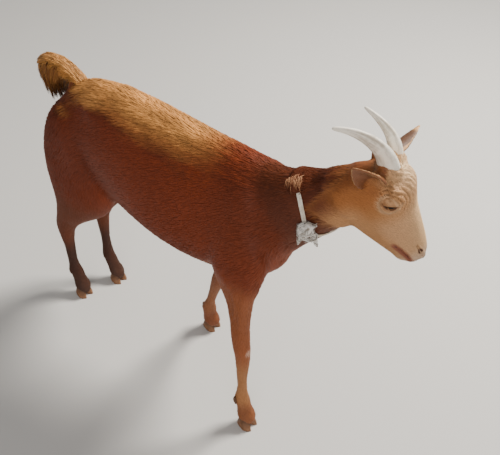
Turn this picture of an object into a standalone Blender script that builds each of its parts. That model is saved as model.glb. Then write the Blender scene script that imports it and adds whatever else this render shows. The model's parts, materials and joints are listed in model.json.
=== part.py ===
"""A small horned doe goat at life size, standing in mid step, as a still museum model.

Metres, +Z up. The goat faces +X and its left side is +Y; the origin is on the floor under
the middle of its box. The flesh is modelled as smooth lofts and muscles that are fused into
one body, and that body is parted with thin cuts into trunk, neck, head, tail, udder and
legs. Horns, ears, eyes, claws and the strap collar are pieces of their own, each fitted to
the flesh with a hair's gap.
"""

import math

import bmesh
import bpy
from mathutils import Matrix, Vector
from mathutils.bvhtree import BVHTree

# ---------------------------------------------------------------- driving dimensions
HEAD_LENGTH = 0.202       # poll to nose
GAP = 0.0004              # clearance between neighbouring pieces
RING_SIDES = 12           # corners of a section before it is subdivided
CAGE_SHRINK = 0.955       # a subdivided ring lies this much inside its corners
FUSE_VOXEL = 0.0030       # how finely the flesh is fused
FLESH_FACES = 2900        # triangles of the fused flesh
CORONET = 0.027           # height of the hoof's upper edge at the front
CLAW_LENGTH = 0.041
CLAW_WIDTH = 0.0155
EYE_RADIUS = 0.0112
STRAP_WIDTH = 0.0085
STRAP_THICKNESS = 0.0028
STRAP_PIECES = 40         # straight lengths round the neck

SHARP_FROM = math.radians(50)   # edges bent more than this stay sharp

# ---------------------------------------------------------------- pose
POLL = Vector((0.170, 0.025, 0.700))
HEAD_PITCH = math.radians(50.2)   # the face points down by this
HEAD_YAW = math.radians(17.5)     # and to the goat's left by this
HEAD_ROLL = math.radians(-3.0)    # the crown leans to the left
COLLAR_CENTRE = Vector((0.098, 0.006, 0.569))
COLLAR_AXIS = Vector((0.71, 0.08, 0.70)).normalized()

# Trunk sections: x, top, bottom, half width, how much the belly outgrows the back
TRUNK = (
    (-0.488, 0.540, 0.455, 0.036, 0.00),
    (-0.466, 0.568, 0.410, 0.054, 0.00),
    (-0.425, 0.596, 0.384, 0.070, 0.05),
    (-0.360, 0.611, 0.378, 0.077, 0.15),
    (-0.290, 0.612, 0.364, 0.087, 0.22),
    (-0.210, 0.606, 0.348, 0.096, 0.26),
    (-0.130, 0.601, 0.339, 0.094, 0.24),
    (-0.060, 0.601, 0.340, 0.084, 0.12),
    (0.000, 0.599, 0.354, 0.073, 0.05),
    (0.036, 0.585, 0.382, 0.060, 0.00),
    (0.060, 0.548, 0.418, 0.042, 0.00),
)

# Neck sections: crest x and z, throat x and z, place across, half width
NECK = (
    (-0.085, 0.580, -0.035, 0.375, 0.000, 0.056),
    (-0.030, 0.594, 0.044, 0.410, 0.000, 0.056),
    (0.018, 0.598, 0.088, 0.480, 0.001, 0.051),
    (0.053, 0.606, 0.119, 0.514, 0.004, 0.045),
    (0.087, 0.627, 0.146, 0.546, 0.009, 0.040),
    (0.112, 0.636, 0.171, 0.565, 0.011, 0.031),
    (0.136, 0.645, 0.187, 0.588, 0.015, 0.025),
)

# Head sections in head lengths: along the face, top, bottom, half width, jaw narrowing
HEAD = (
    (0.02, -0.430, -0.500, 0.080, -0.20),
    (0.06, -0.280, -0.570, 0.118, -0.30),
    (0.13, -0.055, -0.625, 0.162, -0.22),
    (0.28, 0.130, -0.640, 0.215, 0.18),
    (0.40, 0.074, -0.595, 0.202, 0.25),
    (0.52, 0.003, -0.530, 0.172, 0.20),
    (0.64, -0.035, -0.490, 0.144, 0.10),
    (0.76, -0.068, -0.440, 0.124, 0.04),
    (0.87, -0.102, -0.395, 0.112, 0.00),
    (0.95, -0.142, -0.350, 0.098, 0.00),
    (0.995, -0.185, -0.285, 0.062, 0.00),
)

# Lumps on the right half of the head, in head lengths: centre, radii, turn about the ear axis
HEAD_LUMPS = (
    ((0.27, -0.130, -0.340), (0.170, 0.075, 0.190), 20),    # cheek
    ((0.345, -0.172, -0.030), (0.110, 0.050, 0.050), 10),   # brow
    ((0.390, -0.168, -0.130), (0.085, 0.042, 0.062), 0),    # lids
    ((0.165, -0.080, 0.000), (0.110, 0.062, 0.085), 0),     # root of the horn
    ((0.925, -0.050, -0.185), (0.055, 0.050, 0.045), 20),   # wing of the nostril
    ((0.880, -0.055, -0.270), (0.085, 0.050, 0.050), 0),    # upper lip
    ((0.860, -0.035, -0.350), (0.085, 0.045, 0.038), 0),    # lower lip
    ((0.135, -0.155, -0.130), (0.055, 0.042, 0.052), 0),    # root of the ear
)
EYE_PLACE = (0.380, -0.159, -0.110)

# Horns in head lengths: four points of the curve; half thickness fore and aft, and sideways
HORNS = {
    "right": ((0.235, -0.080, -0.075), (0.080, -0.100, 0.115), (-0.190, -0.130, 0.030),
              (-0.340, -0.215, -0.130)),
    "left": ((0.235, 0.070, -0.075), (0.105, 0.085, 0.130), (-0.105, 0.100, 0.070),
             (-0.235, 0.175, -0.022)),
}
HORN_ROOT = {"right": (0.0190, 0.0105), "left": (0.0145, 0.0095)}

# Ears in head lengths: root, and where the tip lies from it
EARS = {
    "right": ((0.135, -0.150, -0.105), (-0.235, -0.370, 0.070)),
    "left": ((0.130, 0.145, -0.105), (0.175, 0.470, 0.170)),
}
EAR_WIDTH = 0.034
EAR_THICKNESS = 0.0034

# Foreleg sections: height, front, back, half width
FORELEG = (
    (0.520, 0.028, -0.070, 0.020),
    (0.470, 0.062, -0.068, 0.025),
    (0.430, 0.068, -0.062, 0.027),
    (0.390, 0.052, -0.056, 0.026),
    (0.355, 0.040, -0.046, 0.0235),
    (0.320, 0.034, -0.028, 0.0195),
    (0.270, 0.030, -0.014, 0.0160),
    (0.225, 0.029, -0.006, 0.0130),
    (0.192, 0.033, -0.002, 0.0145),
    (0.165, 0.029, 0.002, 0.0120),
    (0.125, 0.026, 0.006, 0.0092),
    (0.090, 0.026, 0.006, 0.0100),
    (0.068, 0.030, 0.001, 0.0135),
    (0.048, 0.036, 0.010, 0.0125),
    (0.030, 0.043, 0.012, 0.0145),
    (0.016, 0.045, 0.018, 0.0135),
    (0.007, 0.040, 0.022, 0.0100),
)

# Hind leg sections: height, front, back, distance from the middle, half width
HINDLEG = (
    (0.560, -0.385, -0.462, 0.034, 0.028),
    (0.520, -0.355, -0.494, 0.044, 0.033),
    (0.470, -0.330, -0.508, 0.051, 0.036),
    (0.420, -0.315, -0.511, 0.056, 0.035),
    (0.375, -0.318, -0.505, 0.060, 0.030),
    (0.335, -0.345, -0.500, 0.060, 0.025),
    (0.295, -0.398, -0.503, 0.057, 0.0200),
    (0.255, -0.446, -0.517, 0.052, 0.0155),
    (0.225, -0.472, -0.534, 0.049, 0.0140),
    (0.203, -0.484, -0.535, 0.047, 0.0155),
    (0.175, -0.494, -0.525, 0.046, 0.0135),
    (0.130, -0.498, -0.520, 0.044, 0.0100),
    (0.092, -0.499, -0.521, 0.043, 0.0105),
    (0.072, -0.494, -0.524, 0.042, 0.0135),
    (0.050, -0.484, -0.508, 0.042, 0.0125),
    (0.031, -0.474, -0.504, 0.043, 0.0145),
    (0.016, -0.470, -0.496, 0.043, 0.0135),
    (0.007, -0.474, -0.492, 0.043, 0.0100),
)

# How each leg is posed: by height, how far forward its line is carried and how far out
SIDES = {"right": -1, "left": 1}
FORE_STRIDE = {
    "right": ((0.00, 0.012), (0.07, 0.006), (0.19, 0.000), (0.36, -0.008), (0.52, -0.010)),
    "left": ((0.00, -0.213), (0.07, -0.206), (0.19, -0.168), (0.36, -0.075), (0.52, -0.010)),
}
FORE_OUT = {
    "right": ((0.00, 0.080), (0.19, 0.070), (0.36, 0.068), (0.52, 0.058)),
    "left": ((0.00, 0.074), (0.19, 0.062), (0.36, 0.068), (0.52, 0.058)),
}
HIND_STRIDE = {
    "right": ((0.00, -0.003), (0.07, 0.000), (0.50, 0.000)),
    "left": ((0.00, 0.026), (0.07, 0.024), (0.20, 0.014), (0.42, 0.000)),
}
FORE_CLAW_HEEL = 0.008    # where a fore claw's heel stands on the leg's own line
HIND_CLAW_HEEL = -0.508

# Tail: points of its line, half width and half depth
TAIL = (
    ((-0.428, 0.000, 0.572), 0.016, 0.012),
    ((-0.452, 0.000, 0.579), 0.016, 0.014),
    ((-0.474, 0.000, 0.585), 0.019, 0.024),
    ((-0.500, -0.001, 0.580), 0.023, 0.040),
    ((-0.526, -0.002, 0.566), 0.023, 0.045),
    ((-0.553, -0.004, 0.553), 0.017, 0.033),
    ((-0.574, -0.006, 0.546), 0.007, 0.010),
)

# Other muscles and bones of the right half: centre and radii
MUSCLES = (
    ((-0.352, -0.032, 0.562), (0.046, 0.030, 0.030)),    # point of the hip
    ((-0.464, -0.028, 0.518), (0.026, 0.022, 0.030)),    # pin bone
    ((-0.350, -0.056, 0.402), (0.032, 0.028, 0.046)),    # stifle
    ((0.022, -0.036, 0.440), (0.030, 0.034, 0.044)),     # point of the shoulder
    ((-0.012, -0.034, 0.515), (0.050, 0.038, 0.066)),    # shoulder blade
)
UDDER = (
    ((-0.405, 0.000, 0.372), (0.048, 0.030, 0.045)),
    ((-0.412, -0.014, 0.340), (0.028, 0.019, 0.030)),
    ((-0.412, 0.014, 0.340), (0.028, 0.019, 0.030)),
    ((-0.420, -0.017, 0.312), (0.0065, 0.0065, 0.020)),
    ((-0.420, 0.017, 0.312), (0.0065, 0.0065, 0.020)),
)
UDDER_FACES = 260

# The knot of the collar: where it sits round the neck, and its lumps, loop and ends.
# Places are outward from the strap, round the neck towards the throat, along the neck.
KNOT_TURN = math.radians(-68)
KNOT_LUMPS = (
    ((0.0055, 0.000, 0.000), (0.0085, 0.0130, 0.0120)),
    ((0.0075, -0.009, 0.006), (0.0060, 0.0070, 0.0060)),
    ((0.0075, 0.008, -0.005), (0.0065, 0.0080, 0.0070)),
)
KNOT_LOOP = ((0.0070, 0.0150, 0.0060), 0.0068, 0.0024)
KNOT_ENDS = (
    ((0.006, -0.008, 0.010), (0.013, -0.020, 0.018)),
    ((0.006, 0.010, -0.008), (0.010, 0.030, -0.014)),
    ((0.006, 0.016, 0.010), (0.011, 0.032, 0.013)),
)
KNOT_FACES = 330

# The cuts that part the flesh: centre of the cut, the way into the piece, half sizes.
# The head's cut is given in head lengths and head space, the others on the whole goat.
HEAD_CUT = ((0.085, 0.000, -0.310), (0.96, 0.00, 0.28), (0.20, 0.16, 0.0775))
CUTS = (
    ("neck", (0.048, 0.000, 0.535), (0.75, 0.04, 0.66), (0.16, 0.12, 0.14)),
    ("tail", (-0.455, 0.000, 0.583), (-0.80, 0.00, 0.60), (0.15, 0.05, 0.06)),
    ("foreleg_right", (0.000, -0.128, 0.395), (0.02, 0.00, -1.00), (0.25, 0.098, 0.075)),
    ("foreleg_left", (-0.018, 0.128, 0.395), (-0.42, 0.00, -0.91), (0.25, 0.098, 0.078)),
    ("hindleg_right", (-0.440, -0.108, 0.440), (0.00, 0.00, -1.00), (0.25, 0.098, 0.125)),
    ("hindleg_left", (-0.440, 0.108, 0.440), (0.00, 0.00, -1.00), (0.25, 0.098, 0.125)),
)

# Finishes: base colour, roughness; and which one a piece has by the first word of its name
FINISHES = {
    "coat": ((0.155, 0.048, 0.018), 0.75),
    "face": ((0.420, 0.230, 0.110), 0.75),
    "horn": ((0.780, 0.700, 0.560), 0.45),
    "claw": ((0.120, 0.075, 0.050), 0.50),
    "eye": ((0.045, 0.022, 0.008), 0.08),
    "strap": ((0.620, 0.600, 0.570), 0.55),
}
FINISH_OF = {
    "head": "face",
    "horn": "horn",
    "claw": "claw",
    "dewclaw": "claw",
    "eye": "eye",
    "collar": "strap",
}


# ---------------------------------------------------------------- small helpers
def clear_scene():
    for obj in list(bpy.data.objects):
        bpy.data.objects.remove(obj)


def read_table(table, key):
    """Linear reading of a table of (key, value) pairs, sorted by key."""
    for (key_0, value_0), (key_1, value_1) in zip(table, table[1:]):
        if key <= key_1:
            return value_0 + (value_1 - value_0) * (key - key_0) / (key_1 - key_0)
    return table[-1][1]


def mirrored(point):
    return (point[0], -point[1], point[2])


def finish(name):
    material = bpy.data.materials.get(name)
    if material is None:
        colour, roughness = FINISHES[name]
        material = bpy.data.materials.new(name)
        material.use_nodes = True
        shader = material.node_tree.nodes["Principled BSDF"]
        shader.inputs["Base Color"].default_value = (*colour, 1)
        shader.inputs["Roughness"].default_value = roughness
        shader.inputs["Metallic"].default_value = 0
    return material


def bezier(points, t):
    a, b, c, d = points
    return a * (1 - t) ** 3 + b * 3 * (1 - t) ** 2 * t + c * 3 * (1 - t) * t * t + d * t**3


def add_mesh(name, build, collection):
    """A new mesh object whose faces come from build(bm)."""
    bm = bmesh.new()
    build(bm)
    bmesh.ops.recalc_face_normals(bm, faces=bm.faces)
    mesh = bpy.data.meshes.new(name)
    bm.to_mesh(mesh)
    bm.free()
    obj = bpy.data.objects.new(name, mesh)
    collection.objects.link(obj)
    return obj


def section(centre, side, up, half_width, rise, drop, narrowing=0.0):
    """Corners of one closed section. narrowing makes its lower half slimmer."""
    corners = []
    for i in range(RING_SIDES):
        angle = math.tau * (i + 0.5) / RING_SIDES
        wide, tall = math.cos(angle), math.sin(angle)
        wide *= half_width * (1 + narrowing * tall)
        tall *= rise if tall > 0 else drop
        corners.append(centre + (side * wide + up * tall) / CAGE_SHRINK)
    return corners


def loft(name, rings, collection, level=2):
    """A closed skin over a row of sections, rounded by subdivision."""

    def build(bm):
        loops = [[bm.verts.new(corner) for corner in ring] for ring in rings]
        count = len(loops[0])
        for low, high in zip(loops, loops[1:]):
            for i in range(count):
                j = (i + 1) % count
                bm.faces.new((low[i], low[j], high[j], high[i]))
        bm.faces.new(loops[0])
        bm.faces.new(loops[-1])

    obj = add_mesh(name, build, collection)
    if level:
        modifier = obj.modifiers.new("round", "SUBSURF")
        modifier.levels = modifier.render_levels = level
    return obj


def ball(name, centre, radii, collection, turn=Matrix.Identity(3), segments=24):
    """An ellipsoid: a primitive sphere, scaled and turned into place."""
    place = Matrix.Translation(centre) @ turn.to_4x4() @ Matrix.Diagonal((*radii, 1))

    def build(bm):
        bmesh.ops.create_uvsphere(
            bm, u_segments=segments, v_segments=segments // 2, radius=1, matrix=place
        )

    return add_mesh(name, build, collection)


def box(name, centre, half_sizes, turn, collection):
    place = Matrix.Translation(centre) @ turn.to_4x4() @ Matrix.Diagonal((*half_sizes, 1))
    return add_mesh(name, lambda bm: bmesh.ops.create_cube(bm, size=2, matrix=place), collection)


def path_frames(points):
    """Side and up vectors across a path that stays roughly upright."""
    frames = []
    for i, _ in enumerate(points):
        along = (points[min(i + 1, len(points) - 1)] - points[max(i - 1, 0)]).normalized()
        side = Vector((0, 0, 1)).cross(along).normalized()
        frames.append((side, along.cross(side)))
    return frames


# ---------------------------------------------------------------- joining and cutting
def settle(obj):
    """Gives an object its evaluated mesh and drops its modifiers."""
    graph = bpy.context.evaluated_depsgraph_get()
    mesh = bpy.data.meshes.new_from_object(obj.evaluated_get(graph))
    obj.modifiers.clear()
    obj.data = mesh
    return obj


def copy_of(obj, name, collection):
    twin = obj.copy()
    twin.data = obj.data.copy()
    twin.name = name
    collection.objects.link(twin)
    return twin


def grown(obj, collection, by=GAP):
    """A cutter: the piece grown all round by the clearance."""
    twin = copy_of(obj, obj.name + "_room", collection)
    modifier = twin.modifiers.new("grow", "DISPLACE")
    modifier.strength = by
    modifier.mid_level = 0.0
    return settle(twin)


def boolean(obj, other, operation):
    modifier = obj.modifiers.new(operation.lower(), "BOOLEAN")
    modifier.operation = operation
    modifier.object = other
    modifier.solver = "EXACT"
    return settle(obj)


def keep_largest(obj):
    """Drops the crumbs that a cut leaves beside the main body."""
    bm = bmesh.new()
    bm.from_mesh(obj.data)
    todo, islands = set(bm.verts), []
    while todo:
        stack = [todo.pop()]
        island = list(stack)
        while stack:
            for edge in stack.pop().link_edges:
                for vert in edge.verts:
                    if vert in todo:
                        todo.remove(vert)
                        stack.append(vert)
                        island.append(vert)
        islands.append(island)
    islands.sort(key=len)
    crumbs = [vert for island in islands[:-1] for vert in island]
    bmesh.ops.delete(bm, geom=crumbs, context="VERTS")
    bm.to_mesh(obj.data)
    bm.free()
    return obj


def fuse(name, forms, voxel, faces, collection, smoothing=4):
    """Joins closed forms into one skin, smooths the joins and thins out the triangles."""
    bm = bmesh.new()
    for form in forms:
        settle(form)
        bm.from_mesh(form.data)
        bpy.data.objects.remove(form)
    mesh = bpy.data.meshes.new(name)
    bm.to_mesh(mesh)
    bm.free()
    obj = bpy.data.objects.new(name, mesh)
    collection.objects.link(obj)
    remesh = obj.modifiers.new("fuse", "REMESH")
    remesh.mode = "VOXEL"
    remesh.voxel_size = voxel
    smooth = obj.modifiers.new("smooth", "SMOOTH")
    smooth.factor = 0.5
    smooth.iterations = smoothing
    triangles = obj.modifiers.new("triangles", "TRIANGULATE")
    triangles.quad_method = "BEAUTY"
    settle(obj)
    thin = obj.modifiers.new("thin", "DECIMATE")
    thin.ratio = min(1.0, faces / len(obj.data.polygons))
    return keep_largest(settle(obj))


# ---------------------------------------------------------------- flesh
def head_frame():
    """Matrix from head space (along the face, left, crown) in metres to the goat."""
    along = Vector(
        (
            math.cos(HEAD_PITCH) * math.cos(HEAD_YAW),
            math.cos(HEAD_PITCH) * math.sin(HEAD_YAW),
            -math.sin(HEAD_PITCH),
        )
    )
    level = Vector((-math.sin(HEAD_YAW), math.cos(HEAD_YAW), 0))
    left = level * math.cos(HEAD_ROLL) + along.cross(level) * math.sin(HEAD_ROLL)
    turn = Matrix((along, left, along.cross(left))).transposed()
    return Matrix.Translation(POLL) @ turn.to_4x4()


def on_head(place):
    return head_frame() @ (Vector(place) * HEAD_LENGTH)


def trunk_form(forms):
    rings = []
    for x, top, bottom, half_width, belly in TRUNK:
        half = (top - bottom) / 2
        centre = Vector((x, 0, bottom + half))
        side, up = Vector((0, -1, 0)), Vector((0, 0, 1))
        rings.append(section(centre, side, up, half_width, half, half, -belly))
    return loft("trunk_form", rings, forms)


def neck_form(forms):
    rings = []
    for crest_x, crest_z, throat_x, throat_z, across, half_width in NECK:
        crest = Vector((crest_x, across, crest_z))
        throat = Vector((throat_x, across, throat_z))
        half = (crest - throat).length / 2
        up, side = (crest - throat).normalized(), Vector((0, 1, 0))
        rings.append(section((crest + throat) / 2, side, up, half_width, half, half))
    return loft("neck_form", rings, forms)


def tail_form(forms):
    points = [Vector(row[0]) for row in TAIL]
    rings = []
    for (_, half_width, half_depth), point, (side, up) in zip(TAIL, points, path_frames(points)):
        rings.append(section(point, side, up, half_width, half_depth, half_depth))
    return loft("tail_form", rings, forms)


def head_forms(forms):
    turn = head_frame().to_3x3()
    side, up = turn.col[1], turn.col[2]
    rings = []
    for along, top, bottom, half_width, jaw in HEAD:
        half = (top - bottom) / 2 * HEAD_LENGTH
        centre = on_head((along, 0, (top + bottom) / 2))
        rings.append(section(centre, side, up, half_width * HEAD_LENGTH, half, half, jaw))
    made = [loft("head_form", rings, forms)]
    for place, radii, tilt in HEAD_LUMPS:
        lump_turn = turn @ Matrix.Rotation(math.radians(tilt), 3, "Y")
        size = [radius * HEAD_LENGTH for radius in radii]
        for spot in (place, mirrored(place)):
            made.append(ball("lump", on_head(spot), size, forms, lump_turn))
    return made


def foreleg_form(name, forms):
    rings = []
    for height, front, back, half_width in FORELEG:
        step = read_table(FORE_STRIDE[name], height)
        lean = (read_table(FORE_STRIDE[name], height + 0.03) - step) / 0.03
        half = (front - back) / 2 * math.hypot(1, lean)
        out = SIDES[name] * read_table(FORE_OUT[name], height)
        centre = Vector(((front + back) / 2 + step, out, height))
        side, up = Vector((0, 1, 0)), Vector((1, 0, 0))
        rings.append(section(centre, side, up, half_width, half, half))
    return loft("foreleg_form", rings, forms)


def hindleg_form(name, forms):
    rings = []
    for height, front, back, out, half_width in HINDLEG:
        step = read_table(HIND_STRIDE[name], height)
        half = (front - back) / 2
        centre = Vector(((front + back) / 2 + step, SIDES[name] * out, height))
        side, up = Vector((0, 1, 0)), Vector((1, 0, 0))
        rings.append(section(centre, side, up, half_width, half, half))
    return loft("hindleg_form", rings, forms)


def make_flesh(forms):
    made = [trunk_form(forms), neck_form(forms), tail_form(forms), *head_forms(forms)]
    for name in SIDES:
        made.append(foreleg_form(name, forms))
        made.append(hindleg_form(name, forms))
    for centre, radii in MUSCLES:
        for spot in (centre, mirrored(centre)):
            made.append(ball("muscle", Vector(spot), radii, forms))
    return fuse("flesh", made, FUSE_VOXEL, FLESH_FACES, forms)


# ---------------------------------------------------------------- pieces of their own
def make_eye(name, goat):
    place = EYE_PLACE if name == "right" else mirrored(EYE_PLACE)
    turn = head_frame().to_3x3()
    return ball("eye_" + name, on_head(place), [EYE_RADIUS] * 3, goat, turn, segments=16)


def make_horn(name, goat):
    across = head_frame().to_3x3().col[1]
    curve = [on_head(spot) for spot in HORNS[name]]
    steps = 9
    rings = []
    for i in range(steps + 1):
        t = i / steps
        ahead = bezier(curve, min(1, t + 0.02)) - bezier(curve, max(0, t - 0.02))
        along = ahead.normalized()
        side = (across - along * across.dot(along)).normalized()
        deep = HORN_ROOT[name][0] * (1 - 0.86 * t**1.1)
        wide = HORN_ROOT[name][1] * (1 - 0.76 * t**1.3)
        rings.append(section(bezier(curve, t), side, along.cross(side), wide, deep, deep))
    return loft("horn_" + name, rings, goat, level=0)


def make_ear(name, goat):
    """A leaf with a cupped width, given its thickness by Solidify."""
    root, reach = EARS[name]
    start = on_head(root)
    turn = head_frame().to_3x3()
    line = turn @ (Vector(reach) * HEAD_LENGTH)
    along = line.normalized()
    facing = turn @ Vector((0.75, 0.25 * math.copysign(1, root[1]), -0.15))
    facing = (facing - along * facing.dot(along)).normalized()
    edge = along.cross(facing)
    steps, across = 7, 4

    def build(bm):
        rows = []
        for i in range(steps + 1):
            t = i / steps
            half = EAR_WIDTH / 2 * (0.42 + 2.6 * t * (1 - t)) * math.sqrt(max(0.02, 1 - t**3))
            row = []
            for j in range(across + 1):
                s = 2 * j / across - 1
                cup = facing * (0.55 * half * s * s * (1 - 0.6 * t))
                row.append(bm.verts.new(start + line * t + edge * half * s + cup))
            rows.append(row)
        for low, high in zip(rows, rows[1:]):
            for j in range(across):
                bm.faces.new((low[j], low[j + 1], high[j + 1], high[j]))

    ear = add_mesh("ear_" + name, build, goat)
    thick = ear.modifiers.new("thick", "SOLIDIFY")
    thick.thickness = EAR_THICKNESS
    thick.offset = 0
    return settle(ear)


def make_claw(name, heel, out, inner, splay, goat):
    """One toe's horn shoe: a flat sole, a sloped front, flat on its inner side."""
    turn = Matrix.Rotation(splay, 3, "Z")
    levels = ((0.000, 0.000, 0.000), (0.010, -0.004, 0.002), (0.019, -0.010, 0.004),
              (0.027, -0.016, 0.005))
    corners = 10
    rings = []
    for height, toe, back in levels:
        front, rear = CLAW_LENGTH + toe, back
        ring = []
        for i in range(corners):
            angle = math.tau * i / corners
            c, s = math.cos(angle), math.sin(angle)
            x = (front + rear) / 2 + (front - rear) / 2 * c
            bulge = 1 - 0.42 * max(0, c) ** 2
            y = inner * (s * bulge * CLAW_WIDTH * (0.62 if s > 0 else 0.38) + CLAW_WIDTH * 0.38)
            y *= 1 - 0.15 * height / CORONET
            drop = 1 - 0.42 * (0.5 - 0.5 * c) * (height / CORONET)
            ring.append(Vector((heel, out, 0)) + turn @ Vector((x, y, height * drop)))
        rings.append(ring)
    return loft(name, rings, goat, level=0)


def make_dewclaw(name, place, out, goat):
    turn = Matrix.Rotation(math.radians(-28), 3, "Y")
    return ball(name, Vector((place, out, 0.060)), (0.0050, 0.0050, 0.0088), goat, turn, 8)


def make_feet(goat):
    """Two claws and two dewclaws on each foot."""
    made = []
    for side, sign in SIDES.items():
        for end in ("front", "hind"):
            if end == "front":
                heel = FORE_CLAW_HEEL + read_table(FORE_STRIDE[side], 0.0)
                back = 0.009 + read_table(FORE_STRIDE[side], 0.060)
                out = sign * read_table(FORE_OUT[side], 0.0)
            else:
                heel = HIND_CLAW_HEEL + read_table(HIND_STRIDE[side], 0.0)
                back = -0.513 + read_table(HIND_STRIDE[side], 0.060)
                out = sign * 0.043
            for toe, way in (("outer", sign), ("inner", -sign)):
                label = f"{end}_{side}_{toe}"
                splay = way * math.radians(5)
                spot = out + way * 0.0010
                made.append(make_claw("claw_" + label, heel, spot, way, splay, goat))
                made.append(make_dewclaw("dewclaw_" + label, back, out + way * 0.0085, goat))
    return made


def strap_way(angle):
    """Unit vector out of the neck: 0 is the throat, a quarter turn on is the left side."""
    throat = Vector((0, 1, 0)).cross(COLLAR_AXIS).normalized()
    return throat * math.cos(angle) + COLLAR_AXIS.cross(throat) * math.sin(angle)


def make_collar(flesh, goat):
    """A flat strap that lies round the neck, found by feeling for the neck from inside."""
    tree = BVHTree.FromObject(flesh, bpy.context.evaluated_depsgraph_get())
    count = STRAP_PIECES
    reach = []
    for i in range(count):
        way = strap_way(math.tau * i / count)
        starts = [COLLAR_CENTRE + COLLAR_AXIS * STRAP_WIDTH * slip for slip in (-0.5, 0, 0.5)]
        reach.append(max(tree.ray_cast(start, way)[3] for start in starts))
    rings = []
    for i, far in enumerate(reach):
        way = strap_way(math.tau * i / count)
        beside = max(reach[i - 1], reach[(i + 1) % count])
        inside = (far + max(far, beside)) / 2 + 0.0012
        low, high = COLLAR_AXIS * -STRAP_WIDTH / 2, COLLAR_AXIS * STRAP_WIDTH / 2
        inner = COLLAR_CENTRE + way * inside
        outer = inner + way * STRAP_THICKNESS
        middle = inner + way * STRAP_THICKNESS * 1.15
        rings.append([inner + low, inner + high, outer + high * 0.86, middle, outer + low * 0.86])

    def build(bm):
        loops = [[bm.verts.new(corner) for corner in ring] for ring in rings]
        corners = len(loops[0])
        for i, low in enumerate(loops):
            high = loops[(i + 1) % count]
            for j in range(corners):
                k = (j + 1) % corners
                bm.faces.new((low[j], low[k], high[k], high[j]))

    return add_mesh("collar", build, goat)


def make_knot(collar, flesh, forms, goat):
    """The ragged bundle that ties the strap: lumps, one open loop and three short ends."""
    out = strap_way(KNOT_TURN)
    turn = Matrix((out, COLLAR_AXIS.cross(out), COLLAR_AXIS)).transposed()
    tree = BVHTree.FromObject(collar, bpy.context.evaluated_depsgraph_get())
    far = tree.ray_cast(COLLAR_CENTRE + out * 0.2, -out)[0]
    place = Matrix.Translation(far) @ turn.to_4x4()
    made = []
    for spot, radii in KNOT_LUMPS:
        made.append(ball("knot_lump", place @ Vector(spot), radii, forms, turn, 16))
    spot, ring_radius, cord_radius = KNOT_LOOP
    loop_turn = place @ Matrix.Translation(spot) @ Matrix.Rotation(math.radians(70), 4, "Y")
    rings = []
    for i in range(20):
        swing = Matrix.Rotation(math.tau * i / 20, 4, "Z")
        centre = loop_turn @ swing @ Vector((ring_radius, 0, 0))
        made.append(ball("knot_loop", centre, [cord_radius] * 3, forms, segments=10))
    for start, stop in KNOT_ENDS:
        for i in range(9):
            spot = Vector(start).lerp(Vector(stop), i / 8)
            made.append(ball("knot_end", place @ spot, [0.0030 - 0.0012 * i / 8] * 3, forms,
                             segments=10))
    knot = fuse("collar_knot", made, 0.0013, KNOT_FACES, goat, smoothing=2)
    boolean(knot, grown(collar, forms), "DIFFERENCE")
    keep_largest(boolean(knot, grown(flesh, forms), "DIFFERENCE"))


def make_udder(flesh, forms, goat):
    made = [ball("udder_form", Vector(centre), radii, forms) for centre, radii in UDDER]
    udder = fuse("udder", made, 0.0020, UDDER_FACES, goat)
    keep_largest(boolean(udder, grown(flesh, forms), "DIFFERENCE"))


# ---------------------------------------------------------------- parting
def way_in(direction):
    """A turn whose X axis points along direction and whose Y axis stays level."""
    along = Vector(direction).normalized()
    level = Vector((-along.y, along.x, 0))
    level = level.normalized() if level.length > 0.01 else Vector((0, 1, 0))
    if level.y < 0:
        level = -level
    return Matrix((along, level, along.cross(level))).transposed()


def part_flesh(flesh, forms, goat):
    """Cuts the pieces off the flesh one after another; what is left is the trunk."""
    head_centre, head_way, head_sizes = HEAD_CUT
    head_way = head_frame().to_3x3() @ Vector(head_way)
    for name, centre, direction, half_sizes in (
        ("head", on_head(head_centre), head_way, head_sizes),
        *CUTS,
    ):
        turn = way_in(direction)
        middle = Vector(centre) + turn.col[0] * half_sizes[0]
        cutter = box(name + "_cut", middle, half_sizes, turn, forms)
        piece = boolean(copy_of(flesh, name, goat), cutter, "INTERSECT")
        keep_largest(piece)
        boolean(flesh, grown(cutter, forms), "DIFFERENCE")
    keep_largest(copy_of(flesh, "trunk", goat))


def stand_at_origin(goat):
    """Moves everything so that the middle of the goat's box stands on the origin."""
    corners = [vert.co for obj in goat.objects for vert in obj.data.vertices]
    low = [min(corner[axis] for corner in corners) for axis in range(3)]
    high = [max(corner[axis] for corner in corners) for axis in range(3)]
    shift = Vector(((low[0] + high[0]) / -2, (low[1] + high[1]) / -2, -low[2]))
    for obj in goat.objects:
        obj.data.transform(Matrix.Translation(shift))


def main():
    clear_scene()
    goat = bpy.data.collections.new("goat")
    forms = bpy.data.collections.new("forms")
    for collection in (goat, forms):
        bpy.context.scene.collection.children.link(collection)
    flesh = make_flesh(forms)
    make_udder(flesh, forms, goat)
    collar = make_collar(flesh, goat)
    make_knot(collar, flesh, forms, goat)
    fitted = make_feet(goat)
    for name in SIDES:
        fitted += [make_eye(name, goat), make_horn(name, goat), make_ear(name, goat)]
    for piece in fitted:
        boolean(flesh, grown(piece, forms), "DIFFERENCE")
    keep_largest(flesh)
    part_flesh(flesh, forms, goat)
    for form in list(forms.objects):
        bpy.data.objects.remove(form)
    bpy.data.collections.remove(forms)
    stand_at_origin(goat)
    for piece in goat.objects:
        piece.data.materials.clear()
        piece.data.materials.append(finish(FINISH_OF.get(piece.name.split("_")[0], "coat")))
        piece.data.shade_smooth()
        piece.data.set_sharp_from_angle(angle=SHARP_FROM)


main()
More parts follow.
